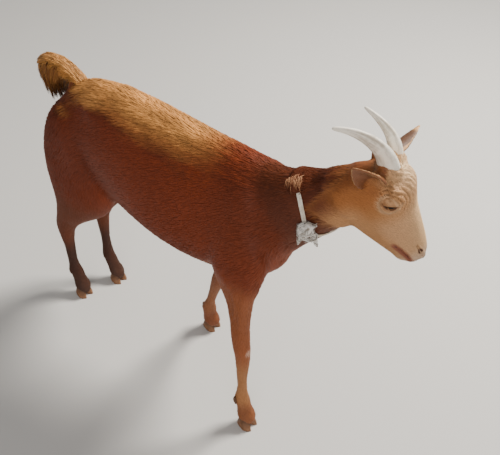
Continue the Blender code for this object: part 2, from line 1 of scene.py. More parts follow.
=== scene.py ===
# %% [markdown]
# # A small horned doe in mid step
#
# This notebook dresses the imported solids of a life-size goat. The solids give the size and
# the pose. Here they get one seamless skin, a coat of fine tufts, wet eyes, ringed horns,
# worn hooves and a knotted cord round the neck. Every place is worked out from the imported
# solids, so the dressed goat stands exactly where they do.

# %% Load the imported goat
import json
import math

import bmesh
import bpy
import numpy as np
from mathutils import Matrix, Vector, noise
from mathutils.bvhtree import BVHTree
from mathutils.kdtree import KDTree

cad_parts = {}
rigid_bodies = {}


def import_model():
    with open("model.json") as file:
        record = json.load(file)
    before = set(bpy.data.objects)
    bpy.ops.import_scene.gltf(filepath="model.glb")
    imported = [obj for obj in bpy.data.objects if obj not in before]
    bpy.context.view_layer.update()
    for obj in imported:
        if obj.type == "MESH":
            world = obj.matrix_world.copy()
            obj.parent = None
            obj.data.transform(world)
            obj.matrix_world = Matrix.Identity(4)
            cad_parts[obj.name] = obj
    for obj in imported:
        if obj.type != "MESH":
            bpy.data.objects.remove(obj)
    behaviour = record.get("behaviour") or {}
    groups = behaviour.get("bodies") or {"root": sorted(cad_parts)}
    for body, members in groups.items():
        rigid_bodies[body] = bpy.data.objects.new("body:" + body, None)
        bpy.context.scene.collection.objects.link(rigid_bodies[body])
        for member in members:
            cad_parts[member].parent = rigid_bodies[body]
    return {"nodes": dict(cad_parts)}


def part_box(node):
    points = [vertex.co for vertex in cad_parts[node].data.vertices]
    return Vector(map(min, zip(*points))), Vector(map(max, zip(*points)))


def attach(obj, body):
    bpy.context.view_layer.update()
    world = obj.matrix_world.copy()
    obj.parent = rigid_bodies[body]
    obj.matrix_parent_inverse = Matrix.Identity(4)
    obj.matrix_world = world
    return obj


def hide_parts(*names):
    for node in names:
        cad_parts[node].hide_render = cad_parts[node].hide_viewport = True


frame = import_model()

bpy.context.view_layer.update()
NODES = frame["nodes"]

# %% [markdown]
# ## Places on the goat
#
# A goat is easiest to shape in its own terms: so far behind the withers, so far down the
# face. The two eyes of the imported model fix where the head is, and from there the withers
# are one fixed step away. Small helpers turn such places into the frame's metres and back. Plain
# coordinates would do too, but then no number would say which part of the goat it means.

# %% Withers and head frames
HEAD_LENGTH = 0.202
FACE_PITCH = math.radians(50.2)
FACE_YAW = math.radians(17.5)
FACE_ROLL = math.radians(-3.0)
EYE_PLACE = Vector((0.380, 0.0, -0.110))      # between the eyes, in head lengths from the poll
POLL_FROM_WITHERS = Vector((0.170, 0.025, 0.700))
MID_TRUNK = -0.20                             # ahead of it are the forelegs, behind it the hind


def middle(node):
    """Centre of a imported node's box."""
    low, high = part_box(node)
    return (Vector(low) + Vector(high)) / 2


def face_turn():
    """Columns: along the face to the nose, to the goat's left, out of the forehead."""
    flat = math.cos(FACE_PITCH)
    along = Vector((flat * math.cos(FACE_YAW), flat * math.sin(FACE_YAW), -math.sin(FACE_PITCH)))
    level = Vector((-math.sin(FACE_YAW), math.cos(FACE_YAW), 0))
    left = level * math.cos(FACE_ROLL) + along.cross(level) * math.sin(FACE_ROLL)
    return Matrix((along, left, along.cross(left))).transposed()


TURN = face_turn()
EYES = (middle("eye_left") + middle("eye_right")) / 2
POLL = EYES - TURN @ (EYE_PLACE * HEAD_LENGTH)
WITHERS = POLL - POLL_FROM_WITHERS            # the floor point under them


def at(x, y, z):
    """A place in metres from the floor point under the withers."""
    return WITHERS + Vector((x, y, z))


def on_head(x, y, z):
    """A place in head lengths from the poll: down the face, to the left, out of the brow."""
    return POLL + TURN @ (Vector((x, y, z)) * HEAD_LENGTH)


def mirror(place, sign):
    return (place[0], place[1] * sign, place[2])


def to_withers(points):
    return points - np.array(WITHERS)


def to_head(points):
    """Points in head lengths: down the face, to the left, out of the brow."""
    return (points - np.array(POLL)) @ np.array(TURN) / HEAD_LENGTH


print("withers over", [round(value, 4) for value in WITHERS])
print("poll at", [round(value, 4) for value in POLL])

# %% [markdown]
# ## Camera
#
# The goat is seen from its right, a little ahead of the shoulder and well above the back, as
# a standing person sees a small animal. A 50 mm lens on a 36 mm sensor keeps it natural.

# %% Camera
VIEW_AZIMUTH = math.radians(36.21)
VIEW_ELEVATION = math.radians(41.665)
VIEW_ROLL = math.radians(2.416)
CAMERA_FROM_WITHERS = (0.506, -0.734, 1.255)
LENS_MM, SENSOR_MM = 50, 36


def in_scene(name, data):
    """A new object in the scene."""
    obj = bpy.data.objects.new(name, data)
    bpy.context.scene.collection.objects.link(obj)
    return obj


def make_camera():
    camera = in_scene("camera", bpy.data.cameras.new("camera"))
    camera.data.lens, camera.data.sensor_width = LENS_MM, SENSOR_MM
    sin_a, cos_a = math.sin(VIEW_AZIMUTH), math.cos(VIEW_AZIMUTH)
    sin_e, cos_e = math.sin(VIEW_ELEVATION), math.cos(VIEW_ELEVATION)
    back = Vector((sin_a * cos_e, -cos_a * cos_e, sin_e))
    right = Vector((cos_a, sin_a, 0))
    up = back.cross(right)
    rolled_right = right * math.cos(VIEW_ROLL) + up * math.sin(VIEW_ROLL)
    turn = Matrix((rolled_right, back.cross(rolled_right), back)).transposed()
    camera.matrix_world = Matrix.Translation(at(*CAMERA_FROM_WITHERS)) @ turn.to_4x4()
    bpy.context.scene.camera = camera
    return camera


camera = make_camera()
print("camera at", [round(value, 3) for value in camera.matrix_world.translation])

# %% [markdown]
# ## Shader maths as Python
#
# A finish such as hair or horn is a web of shader nodes, and a long formula is hard to read as
# a web. It could be clicked together by hand, but a script must build it each time. The class
# `Term` wraps one socket and gives it Python's operators, so that a formula reads as one line.
# `Finish` wraps one material with its Principled shader. Its `grain` is the look that skin,
# horn, hoof and cord share: the tone painted on the points, with a fine grain over it.

# %% Terms and finishes
class Term:
    """A number or colour on its way through a material."""

    def __init__(self, finish, socket):
        self.finish = finish
        self.socket = socket

    def math(self, operation, first, second):
        return self.finish.node("ShaderNodeMath", {"operation": operation}, {0: first, 1: second})

    def __add__(self, other):
        return self.math("ADD", self, other)

    def __sub__(self, other):
        return self.math("SUBTRACT", self, other)

    def __rsub__(self, other):
        return self.math("SUBTRACT", other, self)

    def __mul__(self, other):
        return self.math("MULTIPLY", self, other)

    def __truediv__(self, other):
        return self.math("DIVIDE", self, other)

    def __rtruediv__(self, other):
        return self.math("DIVIDE", other, self)

    def __pow__(self, other):
        return self.math("POWER", self, other)

    __radd__ = __add__
    __rmul__ = __mul__

    def between(self, low, high):
        """0 below low, 1 above high, and smooth between; low may be the larger one."""
        return self.finish.node(
            "ShaderNodeMapRange",
            {"interpolation_type": "SMOOTHSTEP"},
            {"Value": self, "From Min": low, "From Max": high},
        )


class Finish:
    """One material: its Principled shader, and the nodes that feed it."""

    def __init__(self, name, **constants):
        self.material = bpy.data.materials.new(name)
        self.material.use_nodes = True
        self.tree = self.material.node_tree
        self.shader = self.tree.nodes["Principled BSDF"]
        for socket, value in constants.items():
            self.shader.inputs[socket.replace("_", " ")].default_value = value

    def node(self, kind, settings, values, output=0):
        node = self.tree.nodes.new(kind)
        for name, setting in settings.items():
            setattr(node, name, setting)
        for socket, value in values.items():
            self.feed(node.inputs[socket], value)
        return Term(self, node.outputs[output])

    def feed(self, socket, value):
        if isinstance(value, Term):
            self.tree.links.new(value.socket, socket)
        elif socket.type == "RGBA":
            socket.default_value = (*value, 1)
        else:
            socket.default_value = value

    def set(self, name, value):
        self.feed(self.shader.inputs[name], value)

    def place(self, origin=(0, 0, 0)):
        """Object coordinates, counted from an origin."""
        here = self.node("ShaderNodeTexCoord", {}, {}, "Object")
        step = {0: here, 1: tuple(origin)}
        return self.node("ShaderNodeVectorMath", {"operation": "SUBTRACT"}, step)

    def stretched(self, place, scale):
        values = {"Vector": place, "Scale": scale}
        return self.node("ShaderNodeMapping", {"vector_type": "POINT"}, values)

    def along(self, place, direction):
        values = {0: place, 1: tuple(direction)}
        return self.node("ShaderNodeVectorMath", {"operation": "DOT_PRODUCT"}, values, "Value")

    def noise(self, place, scale, detail, roughness):
        values = {"Vector": place, "Scale": scale, "Detail": detail, "Roughness": roughness}
        return self.node("ShaderNodeTexNoise", {}, values)

    def tone(self):
        """The tone painted on the points."""
        return self.node("ShaderNodeAttribute", {"attribute_name": "Tone"}, {}, "Color")

    def mix(self, factor, first, second, way="MIX"):
        settings = {"data_type": "RGBA", "blend_type": way}
        return self.node("ShaderNodeMix", settings, {0: factor, 6: first, 7: second}, 2)

    def grain(self, stretch, scale, detail, roughness, ends, dark, share, depth, strength):
        """The painted tone with a fine grain over it, in colour and in relief."""
        grain = self.noise(self.stretched(self.place(), stretch), scale, detail, roughness)
        shade = self.mix(grain.between(*ends), dark, (1.0, 1.0, 1.0))
        self.set("Base Color", self.mix(share, self.tone(), shade, "MULTIPLY"))
        values = {"Strength": strength, "Distance": depth, "Height": grain}
        self.set("Normal", self.node("ShaderNodeBump", {}, values))


print("shader helpers ready")

# %% [markdown]
# ## Mesh helpers
#
# A few steps come back for every piece: select one object alone, apply its modifiers, read
# its points as one array and write them back, and hand the finished piece to the frame.

# %% Mesh helpers
def only(*objects):
    """Selects these objects alone, and makes the first the active one."""
    bpy.ops.object.select_all(action="DESELECT")
    for obj in objects:
        obj.select_set(True)
    bpy.context.view_layer.objects.active = objects[0]


def apply_all(obj):
    only(obj)
    for modifier in list(obj.modifiers):
        bpy.ops.object.modifier_apply(modifier=modifier.name)
    return obj


def read(items, field, width=1, kind=float):
    """One field of every item of a mesh, as an array."""
    values = np.empty(len(items) * width, dtype=kind)
    items.foreach_get(field, values)
    return values.reshape(-1, width) if width > 1 else values


def points_of(obj):
    return read(obj.data.vertices, "co", 3)


def normals_of(obj):
    return read(obj.data.vertex_normals, "vector", 3)


def edges_of(obj):
    return read(obj.data.edges, "vertices", 2, np.int64)


def corners_of(obj):
    return read(obj.data.loops, "vertex_index", 1, np.int64)


def move_points(obj, points):
    obj.data.vertices.foreach_set("co", points.ravel())
    obj.data.update()


def new_piece(name, points, faces):
    mesh = bpy.data.meshes.new(name)
    mesh.from_pydata([tuple(point) for point in points], [], faces)
    mesh.update()
    return in_scene(name, mesh)


def grid_faces(rows, sides, closed_rows=False, closed_sides=True):
    """Quads over rows of points, which may close on themselves either way."""
    faces = []
    for i in range(rows if closed_rows else rows - 1):
        for j in range(sides if closed_sides else sides - 1):
            k, n = (j + 1) % sides, (i + 1) % rows
            faces.append((i * sides + j, i * sides + k, n * sides + k, n * sides + j))
    return faces


def tidy_mesh(obj, distance=1e-5):
    """Welds doubled points and turns every face outwards."""
    bm = bmesh.new()
    bm.from_mesh(obj.data)
    bmesh.ops.remove_doubles(bm, verts=bm.verts, dist=distance)
    bmesh.ops.recalc_face_normals(bm, faces=bm.faces)
    bm.to_mesh(obj.data)
    bm.free()
    return obj


def wear(obj, finish, slot, nodes=()):
    """Gives a finished piece its material and its body, and hides the nodes it stands for; the slot
    is not used.
    """
    obj.data.materials.clear()
    obj.data.materials.append(finish.material)
    obj.data.shade_smooth()
    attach(obj, "root")
    if nodes:
        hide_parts(*nodes)


def smoothstep(low, high, value):
    t = np.clip((value - low) / (high - low), 0, 1)
    return t * t * (3 - 2 * t)


def bell(values, middle_value, reach):
    return np.exp(-(((values - middle_value) / reach) ** 2))


def unit(vectors):
    return vectors / np.maximum(np.linalg.norm(vectors, axis=-1, keepdims=True), 1e-9)


def laid(way, normal):
    """A direction laid into the surface with this normal."""
    return (way - normal * way.dot(normal)).normalized()


def noise_at(points, scale):
    return np.array([noise.noise(Vector(point) * scale) for point in points])


def tree_of(obj):
    """A search tree over an object's faces."""
    return BVHTree.FromPolygons([vertex.co for vertex in obj.data.vertices],
                                [face.vertices[:] for face in obj.data.polygons])


print("mesh helpers ready")

# %% [markdown]
# ## The skin, first as one body
#
# A living goat has one skin that runs over every joint, but the flesh comes as separate solids
# with hair-thin gaps. A Boolean union would leave creases between them, and sculpting by hand
# can't be repeated by a script. So copies of the solids are grown by half a millimetre until
# they overlap, joined, and turned into one surface by a voxel remesh, which closes every gap.
# Ears and the bony core of the tail are thin, so they get forms of their own here, and plugs
# fill the sockets of horns and eyes.

# %% Forms for the ears, the tail's core and the plugs
FLESH_NODES = ("trunk", "neck", "head", "udder", "foreleg_right", "foreleg_left",
               "hindleg_right", "hindleg_left")
SKIN_NODES = (*FLESH_NODES, "ear_right", "ear_left", "tail")
SKIN_VOXEL = 0.0020
GROW_TO_JOIN = 0.0006
EAR_WIDTH = 0.034
EAR_THICKNESS = 0.0036
EAR_LINES = {
    "right": ((0.150, -0.130, -0.105), (-0.250, -0.390, 0.070)),
    "left": ((0.145, 0.125, -0.105), (0.160, 0.490, 0.170)),
}
EAR_SPREAD = {"right": 1.08, "left": 0.80}
EAR_FULLNESS = {"right": 0.66, "left": 1.0}   # under 1, the leaf is widest nearer to its root
EAR_ROWS, EAR_COLUMNS = 22, 14
EAR_ROLL, STALK_ROLL = 35, 75                 # degrees: all along, and more at the stalk
TAIL_CORE = (((-0.430, 0.000, 0.572), 0.014), ((-0.470, 0.000, 0.594), 0.012),
             ((-0.510, -0.001, 0.598), 0.009), ((-0.545, -0.002, 0.584), 0.005))
PLUGS = (((0.205, 0.080, 0.000), 0.0165), ((0.150, 0.085, -0.030), 0.0165),
         ((0.380, 0.152, -0.110), 0.0125))


def ear_sheet(side):
    """The ear as an open leaf: a half-rolled stalk that opens into a shallow cup."""
    root, reach = EAR_LINES[side]
    start = on_head(*root)
    line = TURN @ (Vector(reach) * HEAD_LENGTH)
    along = line.normalized()
    facing = laid(TURN @ Vector((0.75, math.copysign(0.25, root[1]), -0.15)), along)
    edge = along.cross(facing)
    points = []
    for i in range(EAR_ROWS + 1):
        t = i / EAR_ROWS
        belly = t ** EAR_FULLNESS[side]
        half = EAR_WIDTH / 2 * EAR_SPREAD[side] * (0.42 + 2.6 * belly * (1 - belly))
        half *= math.sqrt(max(0.015, 1 - t**3))
        roll = math.radians(EAR_ROLL + STALK_ROLL * (1 - t) ** 1.6)
        droop = facing * (0.010 * t * t)
        for j in range(EAR_COLUMNS + 1):
            s = 2 * j / EAR_COLUMNS - 1
            across = edge * (half * math.sin(roll * s) / (math.sin(roll) if roll < 1.57 else 1))
            cup = facing * (half * (1 - math.cos(roll * s)) * 0.9)
            points.append(start + line * t + across + cup - droop)
    faces = grid_faces(EAR_ROWS + 1, EAR_COLUMNS + 1, closed_sides=False)
    sheet = new_piece("ear_form", points, faces)
    wall = sheet.modifiers.new("wall", "SOLIDIFY")
    wall.thickness = EAR_THICKNESS
    wall.offset = 0
    return apply_all(sheet)


def ball_form(centre, radius):
    bpy.ops.object.select_all(action="DESELECT")
    bpy.ops.mesh.primitive_uv_sphere_add(segments=24, ring_count=16, radius=radius,
                                         location=centre)
    return bpy.context.active_object


def tail_core():
    """Overlapping balls along the tail's bones."""
    made = []
    for (start, thick), (stop, thin) in zip(TAIL_CORE, TAIL_CORE[1:]):
        for t in np.linspace(0, 1, 7):
            centre = at(*start).lerp(at(*stop), float(t))
            made.append(ball_form(centre, thick + (thin - thick) * float(t)))
    return made


def flesh_forms():
    made = []
    for node in FLESH_NODES:
        solid = tidy_mesh(in_scene("form_" + node, NODES[node].data.copy()))
        grow = solid.modifiers.new("grow", "DISPLACE")
        grow.strength = GROW_TO_JOIN
        grow.mid_level = 0
        made.append(apply_all(solid))
    for place, radius in PLUGS:
        for sign in (-1, 1):
            made.append(ball_form(on_head(place[0], sign * place[1], place[2]), radius))
    return made + tail_core() + [ear_sheet(side) for side in EAR_LINES]


def make_skin():
    forms = flesh_forms()
    only(*forms)
    bpy.ops.object.join()
    skin = bpy.context.active_object
    skin.name = skin.data.name = "skin"
    remesh = skin.modifiers.new("one_body", "REMESH")
    remesh.mode = "VOXEL"
    remesh.voxel_size = SKIN_VOXEL
    return apply_all(skin)


skin = make_skin()
print("skin as one body:", len(skin.data.polygons), "faces")

# %% [markdown]
# ## Which part is where
#
# Hair is short on the face, long on the back and lies another way on each part. So every point
# of the skin is told how near it is to each part of the goat. These weights could be painted
# by hand, but each new remesh would lose them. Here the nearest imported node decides, and the
# answer is blurred along the surface so that one part fades into the next.

# %% Part weights over the skin
PARTS = ("trunk", "neck", "head", "tail", "legs", "ear_right", "ear_left", "udder")
PART_OF_NODE = {"foreleg_right": "legs", "foreleg_left": "legs", "hindleg_right": "legs",
                "hindleg_left": "legs"}


def part_tree():
    """A search tree over points spread on the flesh nodes, and the part of each point."""
    spots, parts = [], []
    for node in (*FLESH_NODES, "tail", "ear_right", "ear_left"):
        mesh = NODES[node].data
        part = PARTS.index(PART_OF_NODE.get(node, node))
        for face in mesh.polygons:
            corners = [mesh.vertices[index].co for index in face.vertices]
            centre = face.center
            spots += [centre, *(corner.lerp(centre, 0.35) for corner in corners)]
            parts += [part] * (1 + len(corners))
    tree = KDTree(len(spots))
    for index, spot in enumerate(spots):
        tree.insert(spot, index)
    tree.balance()
    return tree, np.array(parts)


def blur(edges, values, rounds):
    """Averages values along the edges of the mesh, a few times over."""
    count = len(values)
    first, second = edges[:, 0], edges[:, 1]
    near = np.bincount(first, minlength=count) + np.bincount(second, minlength=count) + 1.0
    for _ in range(rounds):
        total = values.copy()
        for axis in range(values.shape[1]):
            total[:, axis] += np.bincount(first, values[second, axis], minlength=count)
            total[:, axis] += np.bincount(second, values[first, axis], minlength=count)
        values = total / near[:, None]
    return values


def part_weights(obj, rounds):
    tree, parts = part_tree()
    points = points_of(obj)
    weights = np.zeros((len(points), len(PARTS)))
    for index, point in enumerate(points):
        weights[index, parts[tree.find(point)[1]]] = 1
    return blur(edges_of(obj), weights, rounds)


weights = part_weights(skin, 10)
print({part: round(float(weights[:, i].sum())) for i, part in enumerate(PARTS)})

# %% [markdown]
# ## Smoothing and thinning
#
# On a goat the neck flows into the shoulder without a step. The remesh keeps the joints and
# flats of the solids, and gives a plain flank as many points as the lips. The Smooth modifier
# takes the steps away, less on the thin ears. Then the body gives up points that the face
# needs more: a Decimate modifier, held back on the head by a vertex group, thins the trunk and
# legs alone.

# %% Smooth and thin the skin
SMOOTH_ROUNDS = 14
BODY_KEEPS = 0.30
WEIGHT = {part: i for i, part in enumerate(PARTS)}


def vertex_group(obj, name, values):
    group = obj.vertex_groups.new(name=name)
    levels = np.round(values, 1)
    for level in np.unique(levels):
        if level > 0:
            group.add([int(i) for i in np.nonzero(levels == level)[0]], float(level), "REPLACE")
    return group


def smooth_and_thin(obj, weights):
    ears = weights[:, WEIGHT["ear_right"]] + weights[:, WEIGHT["ear_left"]]
    vertex_group(obj, "smooth", 1 - 0.45 * np.clip(ears, 0, 1))
    fine = weights[:, WEIGHT["head"]] + ears
    vertex_group(obj, "fine", np.clip(fine * 1.6, 0, 1))
    smooth = obj.modifiers.new("smooth", "SMOOTH")
    smooth.factor = 0.5
    smooth.iterations = SMOOTH_ROUNDS
    smooth.vertex_group = "smooth"
    thin = obj.modifiers.new("thin", "DECIMATE")
    thin.ratio = BODY_KEEPS
    thin.vertex_group = "fine"
    thin.invert_vertex_group = True
    thin.vertex_group_factor = 10
    apply_all(obj)
    obj.vertex_groups.clear()


smooth_and_thin(skin, weights)
print("thinned skin:", len(skin.data.polygons), "faces")

# %% [markdown]
# ## Room for the coat
#
# The solids reach to the tips of the hair, so the skin lies inside them by the depth of the
# coat: four millimetres on the trunk, little on legs and face, most behind the forearms. The
# points are moved in along their normals, by a depth that the part weights blend.

# %% Draw the skin in by the coat's depth
COAT_DEPTH = {"trunk": 0.0042, "neck": 0.0034, "head": 0.0012, "tail": 0.0010, "legs": 0.0018,
              "ear_right": 0.0003, "ear_left": 0.0003, "udder": 0.0010}
FOREARM_DEPTH = 0.0085                        # more behind the forearm, which is slight


def blended(weights, by_part):
    """One value a point, blended from one value a part."""
    return weights @ np.array([by_part[part] for part in PARTS])


def draw_in(obj, weights):
    """Moves the skin in along its normals, by the coat's depth."""
    points, normals = points_of(obj), normals_of(obj)
    x, y, z = to_withers(points).T
    depth = blended(weights, COAT_DEPTH)
    depth *= 0.4 + 0.6 * smoothstep(0.02, 0.08, z)
    behind = -normals[:, 0] * 0.79 + normals[:, 1] * np.sign(y) * 0.61
    forearm = FOREARM_DEPTH * smoothstep(0.1, 0.8, behind) * bell(z, 0.335, 0.065) * (x > MID_TRUNK)
    depth += forearm * weights[:, WEIGHT["legs"]]
    move_points(obj, points - normals * depth[:, None])
    return depth


weights = part_weights(skin, 6)
depth = draw_in(skin, weights)
print("coat depth in mm:", round(depth.min() * 1000, 2), "to", round(depth.max() * 1000, 2))

# %% [markdown]
# ## Muscle and bone
#
# Under a short coat, the muscles of haunch, shoulder and breast show as soft swellings, while
# knees, hocks and fetlocks are bony and wider than the shank. In the solids, muscles meet in
# plain creases and the shanks are even. A sculptor would stroke and pull such places with
# brushes. Here the points round a few named places are averaged, and the leg joints are pushed
# out along their normals, because lists of places and heights can be read, repeated and
# mirrored.

# %% Soften the flesh where the muscles join
SOFTER = (                    # place, reach, rounds of averaging; left, and the right mirrors it
    ((-0.352, 0.060, 0.565), 0.095, 26), ((0.022, 0.060, 0.440), 0.075, 22),
    ((-0.010, 0.060, 0.520), 0.100, 22), ((-0.350, 0.065, 0.400), 0.065, 10),
    ((-0.464, 0.035, 0.520), 0.055, 8), ((-0.098, 0.105, 0.405), 0.055, 16),
)


def soften(obj):
    """Averages the points round each place with their neighbours, on both sides."""
    points, edges = points_of(obj), edges_of(obj)
    for place, reach, rounds in SOFTER:
        hold = np.zeros(len(points))
        for sign in (-1, 1):
            gap = np.linalg.norm(to_withers(points) - np.array(mirror(place, sign)), axis=1)
            hold = np.maximum(hold, smoothstep(reach, reach * 0.45, gap))
        eased = blur(edges, points, rounds)
        points = points + (eased - points) * hold[:, None]
    move_points(obj, points)


soften(skin)
print("flesh softened at", len(SOFTER), "places a side")

# %% Fill out the joints of the legs
LEG_FORMS = (                 # height of the middle, reach, push out; fore, then hind
    ((0.236, 0.026, 0.0020), (0.214, 0.014, 0.0010), (0.130, 0.060, 0.0009),
     (0.066, 0.020, 0.0034), (0.031, 0.013, 0.0050)),
    ((0.262, 0.024, 0.0010), (0.130, 0.060, 0.0006), (0.066, 0.020, 0.0030),
     (0.031, 0.013, 0.0048)),
)


def fill_joints(obj, weights):
    points, normals = points_of(obj), normals_of(obj)
    x, y, z = to_withers(points).T
    push = np.zeros(len(points))
    for forms, here in zip(LEG_FORMS, (x > MID_TRUNK, x <= MID_TRUNK)):
        for height, reach, out in forms:
            push += bell(z, height, reach) * out * here
    flat = 1 - np.abs(normals[:, 2])
    move_points(obj, points + normals * (push * flat * weights[:, WEIGHT["legs"]])[:, None])


fill_joints(skin, weights)
print("leg joints filled out")

# %% [markdown]
# ## The face
#
# The face is looked at first: lids that hug the eyeball, folds round the eye, a nostril and
# the line of the mouth. Each could be a piece of its own, but an added lid shows its seam. So
# the features are pressed into the skin by formula, which keeps both sides alike and every
# measure readable. They need finer points than a flank, so the faces round them are subdivided
# first.

# %% Finer points where the face needs them
EYE_AT = (0.380, 0.159, -0.110)               # in head lengths, for the left; right mirrors it
EYE_RADIUS = 0.0112
NOSTRIL_AT = (0.895, 0.078, -0.160)
MOUTH_LINE = ((0.762, 0.120, -0.292), (0.815, 0.114, -0.276), (0.878, 0.102, -0.264),
              (0.930, 0.080, -0.264), (0.965, 0.045, -0.270), (0.980, 0.000, -0.274))
CHEEK_LINE = ((0.44, 0.180, -0.21), (0.66, 0.135, -0.215))
FINER = ((EYE_AT, 0.026), (EYE_AT, 0.016), (NOSTRIL_AT, 0.014), ((0.85, 0.08, -0.31), 0.028))


def refine_near(obj, place, reach):
    """Cuts each face near a place on the head, on both sides, into four."""
    points = points_of(obj)
    near = np.zeros(len(points), bool)
    for sign in (-1, 1):
        centre = np.array(on_head(*mirror(place, sign)))
        near |= np.linalg.norm(points - centre, axis=1) < reach
    starts = read(obj.data.polygons, "loop_start", 1, np.int64)
    inside = np.logical_and.reduceat(near[corners_of(obj)], starts)
    only(obj)
    obj.data.polygons.foreach_set("select", inside)
    obj.data.edges.foreach_set("select", near[edges_of(obj)].all(axis=1))
    obj.data.vertices.foreach_set("select", near)
    bpy.ops.object.mode_set(mode="EDIT")
    bpy.ops.mesh.select_mode(type="FACE")
    bpy.ops.mesh.subdivide(number_cuts=1, smoothness=0)
    bpy.ops.mesh.select_all(action="SELECT")
    bpy.ops.mesh.quads_convert_to_tris()
    bpy.ops.object.mode_set(mode="OBJECT")


for place, reach in FINER:
    refine_near(skin, place, reach)
print("skin with finer face:", len(skin.data.polygons), "faces")

# %% Press the features of the face
SLIT_LONG, SLIT_HIGH, SLIT_LOW = 0.72, 0.14, 0.28      # of the eyeball's radius
LID_OUT, LID_IN = 1.10, 0.80
FOLD_STEP, FOLD_HEIGHT = 0.0052, 0.0013
NOSTRIL_DEPTH, MOUTH_DEPTH, LIP_HEIGHT = 0.0042, 0.0024, 0.0007
CURL_HEIGHT = 0.0011


def eye_axes(sign):
    """Outward, towards the front corner of the eye, and towards the brow; in head space."""
    out = np.array((0.10, 0.95 * sign, 0.24))
    out /= np.linalg.norm(out)
    corner = np.array((0.62, 0.0, 0.78))
    corner -= out * corner.dot(out)
    corner /= np.linalg.norm(corner)
    brow = np.cross(out, corner)
    return out, corner, brow * -np.sign(brow[0])


def eye_folds(points):
    """The folds round both eyes, from -1 in their grooves to 1 on their crests."""
    ripples = np.zeros(len(points))
    for sign in (-1, 1):
        out, corner, brow = eye_axes(sign)
        away = (to_head(points) - np.array(mirror(EYE_AT, sign))) * HEAD_LENGTH
        lengthwise, upwards = away @ corner, away @ brow
        around = np.maximum(np.hypot(lengthwise, upwards * 0.92), 0.001)
        window = smoothstep(0.0105, 0.0135, around) * smoothstep(0.036, 0.024, around)
        sector = smoothstep(-0.10, 0.45, (upwards + 0.60 * lengthwise) / around)
        ripple = np.cos(math.tau * (around - 0.0150) / FOLD_STEP)
        ripples += ripple * window * sector * (away @ out > -0.012)
        ripples -= 0.8 * (bell(around, 0.0148, 0.0022) * (1 - sector) * (away @ out > -0.006))
    return ripples


def from_eye(points, sign):
    """Each point seen from an eye's middle, in radii: offset, distance, facing, height, slit."""
    out, corner, brow = eye_axes(sign)
    away = (to_head(points) - np.array(mirror(EYE_AT, sign))) * HEAD_LENGTH / EYE_RADIUS
    far = np.linalg.norm(away, axis=1)
    facing, lengthwise, upwards = (away @ axis / far for axis in (out, corner, brow))
    high = np.where(upwards > 0, SLIT_HIGH, SLIT_LOW)
    slit = np.hypot(lengthwise / SLIT_LONG, upwards / high) + 9 * (facing < 0)
    return away, far, facing, upwards, slit


def lids(points, normals):
    """Wraps the skin round the eyeballs as lids, with an almond slit, and adds the folds."""
    for sign in (-1, 1):
        away, far, facing, upwards, slit = from_eye(points, sign)
        shell = LID_IN + (LID_OUT - LID_IN) * smoothstep(0.80, 1.06, slit)
        shell += 0.07 * bell(slit, 1.30, 0.22)
        shell += 0.16 * bell(upwards, 0.62, 0.26) * (facing > 0)
        shell += smoothstep(1.05, 1.9, slit) * np.maximum(far - shell, 0)
        hold = smoothstep(0.05, 0.40, facing) * smoothstep(2.4, 1.5, far)
        new_far = far + (shell - far) * hold
        moved = away * ((new_far / far) - 1)[:, None] * EYE_RADIUS
        points = points + moved @ np.array(TURN).T
    return points + normals * (eye_folds(points) * FOLD_HEIGHT)[:, None]


def near_line(spots, line):
    """Distance from each spot to a line of points, and how far along it, from 0 to 1."""
    best = np.full(len(spots), 9.0)
    along = np.zeros(len(spots))
    for i, (start, stop) in enumerate(zip(line, line[1:])):
        start, stop = np.array(start), np.array(stop)
        step = stop - start
        t = np.clip((spots - start) @ step / step.dot(step), 0, 1)
        gap = np.linalg.norm(spots - start - t[:, None] * step, axis=1)
        along = np.where(gap < best, (i + t) / (len(line) - 1), along)
        best = np.minimum(best, gap)
    return best, along


def nose_and_mouth(points, normals):
    """Pits the nostrils, creases the mouth with full lips, and raises the cheek's ridge."""
    spots = to_head(points)
    push = np.zeros(len(points))
    tilt = math.radians(38)
    for sign in (-1, 1):
        local = spots - np.array(mirror(NOSTRIL_AT, sign))
        lengthwise = local[:, 1] * sign * math.cos(tilt) + local[:, 2] * math.sin(tilt)
        across = -local[:, 1] * sign * math.sin(tilt) + local[:, 2] * math.cos(tilt)
        bent = across - 9.0 * lengthwise**2
        gap = np.sqrt((lengthwise / 0.032) ** 2 + (bent / 0.0120) ** 2
                      + (local[:, 0] / 0.07) ** 2)
        push -= NOSTRIL_DEPTH * (1 - smoothstep(0.55, 1.15, gap))
        push += 0.0007 * bell(gap, 1.45, 0.35)
        gap, along = near_line(spots, [mirror(place, sign) for place in MOUTH_LINE])
        fade = smoothstep(0.0, 0.12, along)
        push -= MOUTH_DEPTH * bell(gap * HEAD_LENGTH, 0, 0.0013) * fade
        push += LIP_HEIGHT * bell(gap * HEAD_LENGTH, 0.0042, 0.0022) * fade
        gap, along = near_line(spots, [mirror(place, sign) for place in CHEEK_LINE])
        push += 0.0012 * bell(gap * HEAD_LENGTH, 0, 0.006) * np.sin(math.pi * along)
    front = smoothstep(0.93, 0.98, spots[:, 0]) * (spots[:, 2] > -0.30)
    push -= 0.0011 * bell(spots[:, 1] * HEAD_LENGTH, 0, 0.0012) * front
    return points + normals * push[:, None]


def curls(points):
    """Waves over the forehead, where the hair curls, from -1 to 1."""
    spots = to_head(points)
    zone = np.exp(-(((spots[:, 0] - 0.22) / 0.17) ** 2) - (spots[:, 1] / 0.19) ** 2)
    zone *= smoothstep(-0.14, -0.02, spots[:, 2])
    waves = np.zeros(len(points))
    for index in np.nonzero(zone > 0.03)[0]:
        spot = Vector(spots[index])
        bend = noise.noise(spot * 8)
        waves[index] = math.sin((abs(spot.y) * 0.9 + spot.x * 0.55) * 170 + bend * 7)
    return waves * zone


